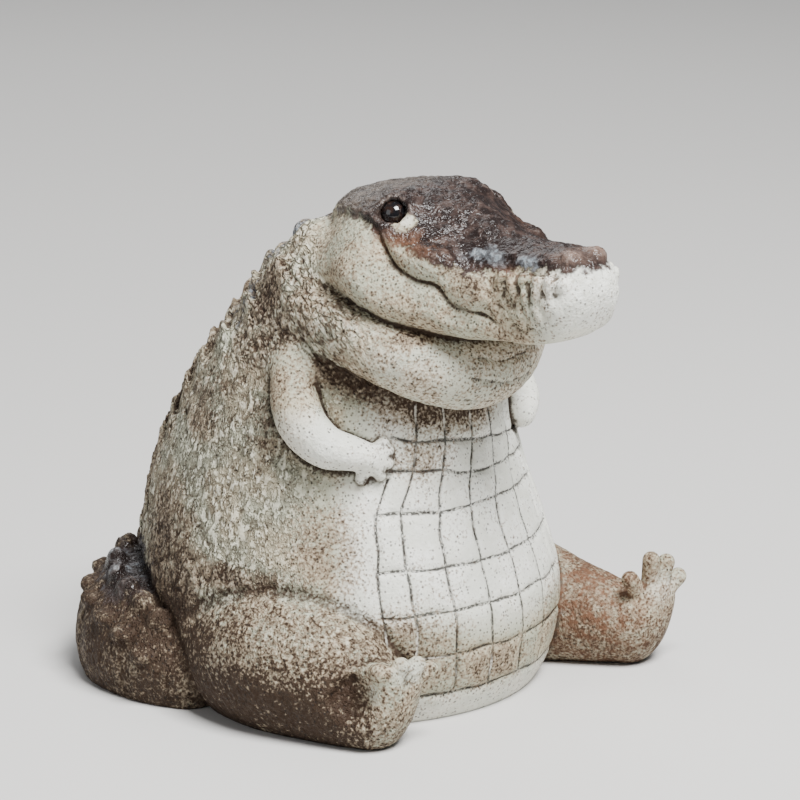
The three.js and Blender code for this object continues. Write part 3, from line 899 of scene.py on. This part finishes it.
def plate_lines(zones):
    """Waves that are nought on the plates' grooves: across the belly, up it, and where plates are."""
    points = np.stack([zones.x, zones.y, zones.z], 1)
    sway = noise(points / 6.0, 31)
    column = (zones.off_front + 1.1 * sway) / PLATE_PITCH + PLATE_COLUMNS / 2
    half = PLATE_COLUMNS / 2
    border = half + PLATE_BORDER / PLATE_PITCH
    offset = column - half
    outer = np.sign(offset) * np.minimum((np.abs(offset) - half) * PLATE_PITCH / PLATE_BORDER, 1.6)
    column = np.where(np.abs(offset) > half, np.sign(offset) * half + outer + half, column)
    radius = np.interp(zones.z, torso.z, torso.radius)
    width = np.radians(np.where(np.abs(offset) > half, PLATE_BORDER, PLATE_PITCH)) * radius
    across = np.sin(np.pi * column) * width / np.pi
    lean = ROW_LEAN * smooth_step(zones.z, 30, 43) * zones.off_front
    level = zones.z + lean + 0.5 * noise(points / 5.0, 37)
    grooves = np.array([PLATE_GROOVES_Z[0] - 6.0, *PLATE_GROOVES_Z, 47.5])
    row = np.interp(level, grooves, np.arange(len(grooves)))
    pitch = np.interp(level, 0.5 * (grooves[1:] + grooves[:-1]), np.diff(grooves))
    up = np.sin(np.pi * row) * pitch / np.pi
    there = smooth_step(border + 0.12 - np.abs(offset), 0, 0.1) * zones.share["torso"]
    upright = there * ((offset > 0.3 - border) | (zones.z < BORDER_TOP))
    return across, up, upright, there * smooth_step(level, 1.5, 3.0) * (level < 45)


def relief(points, zones):
    """How far hand work raises or sinks each point of the surface."""
    share, y, z = zones.share, zones.y, zones.z
    upright = noise_along(points, (0, 0, 1), *UPRIGHT_STROKES)
    slanting = noise_along(points, NECK_STROKES, *SLANTING_STROKES)
    strokes = np.abs(lerp(upright, slanting, zones.slanted))
    lumps = layered(points / 2.4, 2, 17)
    fine = layered(points / 0.8, 1, 23)
    ridges = np.minimum(strokes / 0.34, 1) - 1
    lift = zones.rough * (LUMP_HEIGHT * lumps + STROKE_HEIGHT * ridges + 0.1)

    # Head: scaly skin above the mouth's glaze line, wrinkles on the snout's sides, a smooth jaw.
    above = smooth_step(z - glaze_edge(zones), -1.2, 1.0) * share["head"]
    first, second, _ = cells(points / SKIN_SCALE, 5)
    scaly = 0.2 * (0.5 - first) + 0.1 * smooth_step(second - first, 0.0, 0.3)
    coarse = layered(points / 2.6, 2, 41)
    lift = lift + above * (scaly + 0.16 * coarse)
    snout = share["head"] * (1 - above) * smooth_step(-y, 35, 41) * smooth_step(-y, 54, 50)
    upper = smooth_step(z - mouth_height(y), 0.4, 1.6)
    wrinkles = noise_along(points, (0.1, 0.3, 1), *SNOUT_WRINKLES)
    wrinkled = 1 - np.minimum(np.abs(wrinkles) / 0.4, 1)
    lift = lift - snout * upper * smooth_step(-y, 55, 47) * WRINKLE_DEPTH * wrinkled
    jaw = share["head"] * (1 - above) * (1 - snout)
    lift = lift + (jaw + share["roll"]) * (0.06 * lumps - 0.1 * smooth_step(fine, 0.45, 0.8))
    pitted = 0.06 * lumps - 0.08 * smooth_step(fine, 0.5, 0.85)
    lift = lift + (zones.smooth_front + share["arms"]) * pitted

    # The belly's grooves, deeper in some places than in others.
    across, up, plates, rows = plate_lines(zones)
    groove = np.maximum(
        plates * smooth_step(z, *GROOVES_RISE) * (z < GROOVES_TOP) * np.exp(-((across / GROOVE_WIDTH) ** 2)),
        rows * np.exp(-((up / GROOVE_WIDTH) ** 2)),
    )
    lift = lift - GROOVE_DEPTH * groove * (0.6 + 0.4 * smooth_step(noise(points / 4.0, 53), -0.3, 0.3))

    # Rings round the tail, and lines scored in the front of the roll.
    _, along = tail.distance(zones.x, zones.y, zones.z, where=True)
    rings = np.abs((along * TAIL_RINGS) % 1 - 0.5) * 2
    lift = lift - RING_DEPTH * share["tail"] * smooth_step(rings, 0.8, 1.0)
    for score in ROLL_SCORES:
        gap = roll_line_gap(zones, *score)
        lift = lift - SCORE_DEPTH * share["roll"] * np.exp(-((gap / SCORE_WIDTH) ** 2))
    return np.where(z < 0.3, 0, lift * smooth_step(z, 0.0, 1.5))


def normals_of(points, faces):
    across = np.cross(points[faces[:, 2]] - points[faces[:, 0]], points[faces[:, -1]] - points[faces[:, 1]])
    flat = faces.ravel()
    each = np.repeat(across, faces.shape[1], axis=0)
    summed = np.stack([np.bincount(flat, each[:, n], len(points)) for n in range(3)], 1)
    return summed / np.maximum(np.linalg.norm(summed, axis=1), 1e-12)[:, None]


points, faces = model()
zones = Zones(points)
points = points + relief(points, zones)[:, None] * normals_of(points, faces)
points[:, 2] = np.maximum(points[:, 2], 0)


def build_mesh(name, points, faces):
    mesh = bpy.data.meshes.new(name)
    mesh.vertices.add(len(points))
    mesh.vertices.foreach_set("co", np.asarray(points, np.float32).ravel())
    mesh.loops.add(faces.size)
    mesh.loops.foreach_set("vertex_index", faces.astype(np.int32).ravel())
    mesh.polygons.add(len(faces))
    sides = faces.shape[1]
    mesh.polygons.foreach_set("loop_start", np.arange(0, faces.size, sides, dtype=np.int32))
    mesh.polygons.foreach_set("use_smooth", np.ones(len(faces), bool))
    mesh.update(calc_edges=True)
    mesh.validate()
    return mesh


def placed(name, mesh):
    piece = bpy.data.objects.new(name, mesh)
    bpy.context.scene.collection.objects.link(piece)
    return piece


body = placed("figurine", build_mesh("figurine", points, faces))
thin = body.modifiers.new("thin", "DECIMATE")
thin.ratio = min(1.0, MOST_TRIANGLES / (2 * len(faces)))
body.data = bpy.data.meshes.new_from_object(body.evaluated_get(bpy.context.evaluated_depsgraph_get()))
body.modifiers.clear()
body.data.transform(((MM, 0, 0, 0), (0, MM, 0, 0), (0, 0, MM, 0), (0, 0, 0, 1)))
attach(body, "root")
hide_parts("alligator")


def read_back(elements, name, width, kind=np.float32):
    """A value of every element of a mesh, one row each."""
    values = np.empty(len(elements) * width, kind)
    elements.foreach_get(name, values)
    return values.reshape(-1, width)


def gathered(edges, to_first, to_second, size):
    """The mean, at each point, of what the edges there give to their first and second ends."""
    a, b = edges.T
    total = np.bincount(a, to_first, size) + np.bincount(b, to_second, size)
    return total / np.maximum(np.bincount(a, minlength=size) + np.bincount(b, minlength=size), 1)


def spread(values, edges, times):
    """Each value averaged with its neighbours', some times over."""
    a, b = edges.T
    for _ in range(times):
        values = 0.5 * values + 0.5 * gathered(edges, values[b], values[a], len(values))
    return values


def hollows(points, normals, edges):
    """How far each point lies in a hollow (above nought) or on an edge (below), as a mean slope."""
    a, b = edges.T
    run = points[b] - points[a]
    length = np.maximum(np.linalg.norm(run, axis=1), 1e-9)
    from_a = (run * normals[a]).sum(1) / length
    from_b = -(run * normals[b]).sum(1) / length
    return gathered(edges, from_a, from_b, len(points))


def patches(zones, table):
    """The strongest of some soft patches of colour: place, radii and strength of each."""
    return np.maximum.reduce([strength * zones.near(place, radii) for place, radii, strength in table])


def shaded_edges(zones):
    """Bands of painted shade under the arms, the roll and the head, and over the thighs."""
    x, y, z, share = zones.x, zones.y, zones.z, zones.share

    def band(shape, drop, width):
        return np.exp(-((np.maximum(shape.distance(x, y, z + drop), 0) / width) ** 2))

    body = np.clip(share["torso"] + share["roll"], 0, 1)
    under_arms = np.maximum(*[band(arm, 0.6, 0.8) for arm in arms]) * share["torso"]
    under_roll = band(roll, 1.6, 2.2) * share["torso"]
    under_head = band(head, 0.6, 0.9) * body * smooth_step(z, 70, 66)
    over_legs = np.maximum(band(right_leg, -0.5, 1.3), band(left_leg, -0.5, 1.3)) * share["torso"]
    return np.maximum.reduce([0.95 * under_arms, 0.6 * under_roll, 0.55 * under_head, 0.55 * over_legs])


def paint(zones, normals):
    """Where each wash, painted shade and glaze lies, and how far each point is from each line, FAR_OFF where
    none is.
    """
    share, z, y = zones.share, zones.z, zones.y
    near_leg = share["right_leg"] + share["right_foot"]
    far_leg = share["left_leg"] + share["left_foot"]
    low = smooth_step(z, 17, 5)
    behind = smooth_step(y, -16, 2)
    front = smooth_step(np.abs(zones.off_front), 62, 40)
    over_lip = z - mouth_height(y)
    brow = smooth_step(over_lip, 2.2, 3.6) * smooth_step(-y, 14, 20) * smooth_step(-y, 40, 34)
    toes = patches(zones, TOE_PATCHES)
    bare = patches(zones, BARE_PATCHES)
    pale_limbs = np.clip(share["arms"] + share["hands"], 0, 1) * smooth_step(z, 53, 45)

    # Iron wash with painted shade in it: the near thigh darker low down and towards the back, and a band
    # under the roll; the sides also darken towards the bottom.
    wash_and_shade = np.maximum.reduce([
        patches(zones, WASH_AND_SHADE_PATCHES),
        share["right_leg"] * (0.52 + 0.7 * np.maximum(low, 0.9 * behind)),
        share["right_foot"] * (0.5 + 0.16 * low),
    ])
    wash_and_shade = np.maximum.reduce([
        lerp(wash_and_shade, 0.52, near_leg * zones.near(*HEEL_SPOT)),
        far_leg * (0.8 + 0.2 * behind),
        share["tail"] * 0.95,
        0.85 * share["torso"] * np.exp(-((roll.distance(zones.x, y, z + 2) / 3.0) ** 2)),
        share["torso"] * 0.6 * smooth_step(zones.from_spine, 80, 25),
        0.85 * low * share["torso"] * (1 - front),
        share["roll"] * np.maximum(0.3, 0.45 * smooth_step(y, -28, -18)),
        share["head"] * np.maximum(0.36, 0.7 * brow) * smooth_step(-y, 54, 42),
    ])
    wash_and_shade = wash_and_shade * (1 - 0.65 * toes) * (1 - 0.8 * pale_limbs) * (1 - 0.8 * bare)
    white = np.maximum.reduce([
        share["torso"] * front * np.maximum(smooth_step(z, 10, 20), 0.7 * smooth_step(z, 7, 3)),
        pale_limbs * lerp(0.45, 0.9, smooth_step(-y, 13, 20)),
        0.5 * share["roll"] * smooth_step(y, -18, -27),
        share["head"] * np.maximum(lerp(0.16, 1.0, smooth_step(-y, 43, 54)), 0.7 * bare),
        0.6 * toes,
    ])
    white = np.clip(white - 0.8 * wash_and_shade, 0, 1)

    across, up, plates, rows = plate_lines(zones)
    glaze = np.where(zones.gaps["head"] < 1.6, z - glaze_edge(zones), -FAR_OFF)
    glaze = np.minimum(glaze, 6 * (share["head"] - 0.35))
    glaze = np.maximum(glaze, 3 * (patches(zones, GLAZE_PATCHES) - 0.5))
    cap = smooth_step(y, -21, -12) * share["head"]
    glaze = glaze * lerp(1, 0.4, cap) - 6 * bare
    # Dark seams between parts, widened on downward-facing sides as painted shade.
    under = smooth_step(-normals[:, 2], -0.4, 0.5)
    joint = np.clip(zones.joint, 0, 4) / lerp(0.7, 1.4, under) + 0.4 * near_leg
    no_seam = 3 * share["head"] * smooth_step(z, 66, 70)
    no_seam = no_seam + 3 * smooth_step(y, -22, -12) * smooth_step(z, 56, 60)
    stipple = near_leg + 0.3 * far_leg + 0.5 * share["roll"] + 0.45 * share["head"] + 0.4 * share["arms"]
    scores = np.minimum.reduce([roll_line_gap(zones, *score) for score in ROLL_SCORES])
    mouth = np.abs(over_lip) + 4 * smooth_step(y, -23, -18)
    return {
        "wash_and_shade": wash_and_shade,
        "white": white,
        "rough": zones.rough,
        "slanted": zones.slanted,
        "painted_shade": np.maximum(patches(zones, PAINTED_SHADE_PATCHES), shaded_edges(zones)),
        "cap": cap,
        "stipple": np.clip(stipple, 0, 1),
        "glaze": np.clip(glaze, -4, 4),
        "blue": patches(zones, BLUE_PATCHES),
        "rust": patches(zones, RUST_PATCHES),
        "nose": patches(zones, NOSE_PATCHES),
        "plate_across": across,
        "plate_up": up,
        "plate_upright": plates * smooth_step(z, *GROOVES_RISE) * (z < LINES_TOP),
        "plate_cross": rows,
        "joint": joint + no_seam,
        "score": np.where(share["roll"] > 0.5, scores, FAR_OFF),
        "mouth": np.where(share["head"] > 0.5, mouth, FAR_OFF) + FAR_OFF * smooth_step(-y, *MOUTH_CLOSES),
    }


points = read_back(body.data.vertices, "co", 3).astype(float)
normals = read_back(body.data.vertex_normals, "vector", 3).astype(float)
edges = read_back(body.data.edges, "vertices", 2, np.int32)
carved = hollows(points, normals, edges)
zones = Zones(points / MM)
coats = paint(zones, normals)
for name, times in (("hollow", 1), ("dip", 12)):
    coats[name] = spread(carved, edges, times) * (1 - CAP_FILLS * coats["cap"])
for name, values in coats.items():
    layer = body.data.attributes.new(name, "FLOAT", "POINT")
    layer.data.foreach_set("value", np.asarray(values, np.float32))


class Look:
    """A material, and short calls that each add one node to it and give its output."""

    def __init__(self, name):
        self.material = bpy.data.materials.new(name)
        self.material.use_nodes = True
        self.tree = self.material.node_tree
        self.shader = self.tree.nodes["Principled BSDF"]
        place = self.node("TexCoord").outputs["Object"]
        self.place = self.vector("SCALE", {0: place, "Scale": 1 / MM})

    def node(self, kind, inputs=(), **settings):
        made = self.tree.nodes.new("ShaderNode" + kind)
        for name, value in settings.items():
            setattr(made, name, value)
        for socket, value in dict(inputs).items():
            self.set(made.inputs[socket], value)
        return made

    def set(self, socket, value):
        if isinstance(value, bpy.types.NodeSocket):
            self.tree.links.new(value, socket)
        elif isinstance(value, tuple) and len(value) == 3 and socket.type == "RGBA":
            socket.default_value = (*value, 1)
        else:
            socket.default_value = value

    def vector(self, operation, inputs):
        return self.node("VectorMath", inputs, operation=operation).outputs[0]

    def math(self, operation, a, b=0.0, c=0.0):
        return self.node("Math", {0: a, 1: b, 2: c}, operation=operation).outputs[0]

    def add(self, *values):
        total = values[0]
        for value in values[1:]:
            total = self.math("ADD", total, value)
        return total

    def times(self, *values):
        total = values[0]
        for value in values[1:]:
            total = self.math("MULTIPLY", total, value)
        return total

    def step(self, value, low, high, to_low=0.0, to_high=1.0):
        inputs = {"Value": value, "From Min": low, "From Max": high, "To Min": to_low, "To Max": to_high}
        return self.node("MapRange", inputs, interpolation_type="SMOOTHSTEP").outputs[0]

    def around(self, value, *amounts):
        """A noise about nought instead of a half, times some amounts."""
        return self.times(self.add(value, -0.5), *amounts)

    def noise(self, size, detail=2.0, roughness=0.5, offset=0.0, place=None):
        place = self.vector("ADD", {0: place or self.place, 1: (offset,) * 3})
        inputs = {"Vector": place, "Scale": 1 / size, "Detail": detail, "Roughness": roughness}
        return self.node("TexNoise", inputs).outputs["Fac"]

    def drawn_out(self, direction, stretch):
        """The place, squeezed along a direction so that patterns on it come out longer that way."""
        unit = tuple(Vector(direction).normalized())
        along = self.node("VectorMath", {0: self.place, 1: unit}, operation="DOT_PRODUCT")
        extra = self.math("MULTIPLY", along.outputs["Value"], 1 - 1 / stretch)
        extra = self.vector("SCALE", {0: unit, "Scale": extra})
        return self.vector("SUBTRACT", {0: self.place, 1: extra})

    def specks(self, spacing, radius, density, offset=0.0):
        """Round specks scattered over the surface, more of them where the density is higher."""
        place = self.vector("ADD", {0: self.place, 1: (offset,) * 3})
        inputs = {"Vector": place, "Scale": 1 / spacing, "Randomness": 1.0}
        scattered = self.node("TexVoronoi", inputs, feature="F1")
        near = self.step(scattered.outputs["Distance"], radius / spacing, 0.55 * radius / spacing)
        pick = self.node("SeparateColor", {0: scattered.outputs["Color"]}).outputs[0]
        chosen = self.step(self.math("SUBTRACT", density, pick), -0.03, 0.03)
        return self.times(near, chosen)

    def mix(self, factor, a, b):
        made = self.node("Mix", data_type="RGBA", clamp_factor=True)
        self.set(made.inputs["Factor"], factor)
        self.set(made.inputs[6], a)
        self.set(made.inputs[7], b)
        return made.outputs[2]

    def layers(self, colour, *coats):
        """Colours laid over the first one, each as strongly as its factor says."""
        for factor, over in coats:
            colour = self.mix(factor, colour, over)
        return colour

    def coat(self, name):
        return self.node("Attribute", attribute_name=name).outputs["Fac"]

    def finish(self, **inputs):
        """Sets the shader's inputs, named with _ for a space, and gives the material."""
        for name, value in inputs.items():
            self.set(self.shader.inputs[name.replace("_", " ")], value)
        return self.material


def fired_clay():
    look = Look("fired_clay")
    add, times, step, mix, coat, around = look.add, look.times, look.step, look.mix, look.coat, look.around
    wash_and_shade, white, glaze, hollow, dip = map(coat, ("wash_and_shade", "white", "glaze", "hollow", "dip"))
    rough_skin, slanted, stippled = map(coat, ("rough", "slanted", "stipple"))
    fine = look.noise(FINE, 1)
    grain = look.noise(GRAIN, 2, 0.55, offset=11.0)
    mottle = look.noise(MOTTLE, 3, 0.6, offset=23.0)
    cloud = look.noise(CLOUD, offset=37.0)

    # Short strokes carved into the rough skin, upright on the flanks and slanting on the neck.
    upright = look.noise(1.5, 3, 0.66, 51.0, look.drawn_out((0, 0, 1), 1.7))
    slanting = look.noise(1.45, 2, 0.55, 67.0, look.drawn_out(NECK_STROKES, 2.6))
    strokes = look.math("MULTIPLY_ADD", look.math("SUBTRACT", slanting, upright), slanted, upright)
    valley = look.math("ABSOLUTE", add(strokes, -0.5))
    valley_line = times(step(valley, 0.07, 0.014), step(mottle, 0.38, 0.58, 0.4, 1.0))

    # Bare clay, whiter where it is rubbed, with a painted highlight between the carved strokes, under a thin
    # tan stain.
    bleached = times(white, step(add(mottle, cloud), 0.8, 1.2, 0.7, 1.0))
    ridge_highlight = times(step(valley, 0.05, 0.12), rough_skin, step(mottle, 0.4, 0.62, 0.35, 0.9))
    granular = times(step(rough_skin, 0.0, 1.0, 1.7, 1.0), step(coat("rust"), 0.3, 1.0, 1.0, 0.3))
    stain = add(wash_and_shade, around(cloud, 0.7), around(mottle, 0.8), around(fine, granular))
    stain = add(stain, around(grain, stippled, 1.7))

    # Iron wash that stays in the hollows and breaks into specks on the open surface.
    carved = times(valley_line, rough_skin, step(wash_and_shade, 0.0, 0.7, 0.72, 1.0))
    sunk = add(times(hollow, 3.0), times(dip, 3.0), around(grain, 1.2), times(wash_and_shade, 0.3))
    density = add(times(wash_and_shade, 0.7), around(mottle, 1.6), times(white, -0.5), times(rough_skin, -0.22))
    # Painted shade: dark spots in the instep and between the fingers, and bands under the arms, the roll and
    # the head and over the thighs.
    painted_shade = add(coat("painted_shade"), around(fine, 1.1), around(grain, 0.4))

    # Scored lines: dark with wash, and rubbed pale where the brown wash is strong.
    wobble = around(grain, 0.5)
    breaks = step(add(times(mottle, 0.6), times(fine, 0.8)), 0.66, 0.84, 1.0, 0.15)

    def line(name):
        width = LINE_WIDTHS[name]
        return step(add(look.math("ABSOLUTE", coat(name)), wobble), width, 0.3 * width)

    grid = look.math(
        "MAXIMUM",
        times(line("plate_across"), coat("plate_upright")),
        times(line("plate_up"), coat("plate_cross")),
    )
    pale_lines = step(wash_and_shade, 0.42, 0.62)
    scores = times(line("score"), step(mottle, 0.42, 0.56))
    # Dark seams between parts, wider on their undersides as painted shade.
    seam_and_shade = add(coat("joint"), around(grain, 1.4), times(mottle, 0.4))
    mouth = add(coat("mouth"), around(grain, 0.9))
    rust = times(coat("rust"), step(add(mottle, times(grain, 0.5)), 0.55, 0.9))
    clay = look.layers(
        mix(step(cloud, 0.4, 0.6), CLAY_COOL, CLAY_WARM),
        (bleached, CLAY_WHITE),
        (ridge_highlight, RIDGE_HIGHLIGHT),
        (times(step(stain, 0.1, 0.66), 0.8), TAN),
        (times(step(stain, 0.55, 1.0), 0.95), UMBER_AND_SHADE),
        (times(carved, 0.92), UMBER_AND_SHADE),
        (times(step(sunk, 0.16, 0.72), 0.88), UMBER_AND_SHADE),
        (times(look.specks(*SMALL_SPECKS, add(density, 0.7)), 0.66), UMBER_AND_SHADE),
        (times(look.specks(*LARGE_SPECKS, add(density, 0.45), 5.0), 0.8), IRON),
        (times(step(painted_shade, 0.15, 0.85), 0.92), UMBER_AND_SHADE),
        (times(grid, breaks, step(pale_lines, 0.0, 1.0, 0.9, 0.0)), IRON),
        (times(grid, pale_lines, breaks, 0.65), CHALK),
        (times(scores, 0.75), IRON),
        (times(step(seam_and_shade, 0.95, 0.2), 0.9), UMBER_AND_SHADE),
        (times(step(mouth, 0.7, 0.1), 0.72), UMBER_AND_SHADE),
        (times(rust, 0.8), RUST),
    )

    # The dark glaze of the crown and snout, with its worn, brown and bluish places.
    glazed = step(add(glaze, around(mottle, 2.6), around(grain, 2.0)), -0.6, 0.5)
    blue = step(add(coat("blue"), around(mottle, 2.0)), 0.3, 0.8)
    blue = times(blue, step(coat("blue"), 0.08, 0.35), step(grain, 0.42, 0.6, 0.3, 0.95))
    capped = times(coat("cap"), step(add(grain, times(mottle, 0.6)), 0.62, 0.92, 0.25, 1.0))
    raised = step(add(times(hollow, -1), around(grain, 0.25)), 0.05, 0.15)
    dark = look.layers(
        mix(step(add(mottle, times(grain, 0.3)), 0.56, 0.84), GLAZE_DARK, GLAZE_BROWN),
        (times(capped, 0.85), CAP),
        (blue, GLAZE_BLUE),
        (times(rust, 0.75), RUST),
        (times(coat("nose"), step(grain, 0.3, 0.6, 0.5, 0.95)), NOSE),
        (times(raised, step(mottle, 0.5, 0.62), 0.18), WORN),
    )
    rough = step(add(grain, times(mottle, 0.3)), 0.5, 0.8, 0.62, 0.85)
    shiny = step(add(mottle, times(fine, 0.5)), 0.6, 0.9, 0.15, 0.34)

    # Heights are in millimetres: the carved strokes, the grain of the clay and the runs of the glaze.
    carving = times(step(valley, 0.0, 0.12), rough_skin, CARVING_HEIGHT)
    skin = times(add(times(fine, 0.5), grain), step(glazed, 0.0, 1.0, SKIN_HEIGHT, GLAZE_HEIGHT))
    pitted = times(add(grain, times(fine, 0.6)), stippled, PIT_HEIGHT)
    height = add(carving, skin, pitted, times(grid, LINE_HEIGHT))
    return look.finish(
        Base_Color=mix(look.math("MAXIMUM", glazed, times(blue, 0.75)), clay, dark),
        Roughness=look.node("Mix", {0: glazed, 2: rough, 3: shiny}, data_type="FLOAT").outputs[0],
        Specular_IOR_Level=SPECULAR,
        Normal=look.node("Bump", {"Height": height, "Strength": 1.0, "Distance": MM}).outputs[0],
    )


body.data.materials.clear()
body.data.materials.append(fired_clay())


def make_eye(name, side):
    """A domed eye of black glaze, with a skirt that sinks into its socket."""
    axis = Vector((side * EYE_FACES[0], *EYE_FACES[1:])).normalized()
    turn = axis.to_track_quat("Z", "Y").to_matrix()
    rings, sides = 40, 72
    grid = []
    for row in range(rings + 1):
        lift = EYE_REACH * row / rings
        out = math.sin(lift)
        up = math.cos(lift) * (EYE_FLAT if lift < math.pi / 2 else 1.0)
        for n in range(sides):
            around = 2 * math.pi * n / sides
            grid.append(turn @ Vector((out * math.cos(around), out * math.sin(around), up)) * EYE_RADIUS)
    places = np.array([tuple(p) for p in grid]) + np.array([side * EYE[0], *EYE[1:]])
    first = np.arange(rings)[:, None] * sides + np.arange(sides)
    after = np.arange(rings)[:, None] * sides + (np.arange(sides) + 1) % sides
    quads = np.stack([first, first + sides, after + sides, after], 2).reshape(-1, 4)
    eye = placed(name, build_mesh(name, places * MM, quads))
    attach(eye, "root")
    return eye


def eye_glaze():
    look = Look("eye_glaze")
    return look.finish(
        Base_Color=look.mix(look.step(look.noise(0.9), 0.4, 0.7), PUPIL, PUPIL_BROWN),
        Roughness=look.step(look.noise(0.4), 0.3, 0.8, 0.06, 0.16),
        Coat_Weight=0.6,
        Coat_Roughness=0.05,
    )


eye_look = eye_glaze()
for name, side in (("eye_right", -1), ("eye_left", 1)):
    make_eye(name, side).data.materials.append(eye_look)

# Camera: how far round to the figure's right, how far up, how far off, the size of one pixel at the
# figure's middle, and the pixel in which the frame's origin lies.
CAMERA_TURN = math.radians(-45)
CAMERA_RISE = math.radians(15)
CAMERA_FAR = 600
PIXEL = 0.16
PICTURE = 800
ORIGIN_PIXEL = (347, 661)
SENSOR = 36
CAMERA_CLIP = (0.01, 20)


def direction(turn, rise):
    """Away from the figure, so far round and so far up, in radians."""
    return Vector((
        math.sin(turn) * math.cos(rise), -math.cos(turn) * math.cos(rise), math.sin(rise),
    ))


def make_camera():
    back = direction(CAMERA_TURN, CAMERA_RISE)
    right = Vector((math.cos(CAMERA_TURN), math.sin(CAMERA_TURN), 0))
    up = back.cross(right)
    across = (ORIGIN_PIXEL[0] - PICTURE / 2) * PIXEL
    above = (PICTURE / 2 - ORIGIN_PIXEL[1]) * PIXEL
    data = bpy.data.cameras.new("camera")
    data.sensor_width = SENSOR
    data.lens = CAMERA_FAR / PIXEL / PICTURE * SENSOR
    data.clip_start, data.clip_end = CAMERA_CLIP
    camera = bpy.data.objects.new("camera", data)
    camera.location = (back * CAMERA_FAR - right * across - up * above) * MM
    camera.rotation_mode = "QUATERNION"
    camera.rotation_quaternion = (-back).to_track_quat("-Z", "Y")
    bpy.context.scene.collection.objects.link(camera)
    bpy.context.scene.camera = camera


make_camera()


# Lamps: degrees round to the left and up, how far off and how wide in metres, and power in watts.
LAMPS = {
    "key": (-8, 60, 0.7, 0.32, 15.0),
    "fill": (-95, 25, 0.8, 0.5, 1.0),
    "rim": (150, 40, 0.8, 0.5, 2.0),
}
LAMPS_AIM = (0, 0, 0.04)
SKY = (0.9, 0.93, 1.0, 1)
SKY_STRENGTH = 0.16
FLOOR = (0.62, 0.61, 0.59, 1)
FLOOR_ROUGHNESS = 0.85
FLOOR_CORNERS = [(-3, -3, 0), (3, -3, 0), (3, 3, 0), (-3, 3, 0)]

for name, (turn, rise, far, size, power) in LAMPS.items():
    away = direction(math.radians(turn), math.radians(rise))
    data = bpy.data.lights.new(name, "AREA")
    data.size = size
    data.energy = power
    lamp = bpy.data.objects.new(name, data)
    lamp.location = Vector(LAMPS_AIM) + away * far
    lamp.rotation_mode = "QUATERNION"
    lamp.rotation_quaternion = away.to_track_quat("Z", "Y")
    bpy.context.scene.collection.objects.link(lamp)

world = bpy.data.worlds.new("studio")
world.use_nodes = True
sky = world.node_tree.nodes["Background"]
sky.inputs["Color"].default_value = SKY
sky.inputs["Strength"].default_value = SKY_STRENGTH
bpy.context.scene.world = world

floor_mesh = build_mesh("floor", np.array(FLOOR_CORNERS, float), np.array([[0, 1, 2, 3]]))
floor = placed("floor", floor_mesh)
floor_look = bpy.data.materials.new("floor")
floor_look.use_nodes = True
floor_shader = floor_look.node_tree.nodes["Principled BSDF"]
floor_shader.inputs["Base Color"].default_value = FLOOR
floor_shader.inputs["Roughness"].default_value = FLOOR_ROUGHNESS
floor.data.materials.append(floor_look)
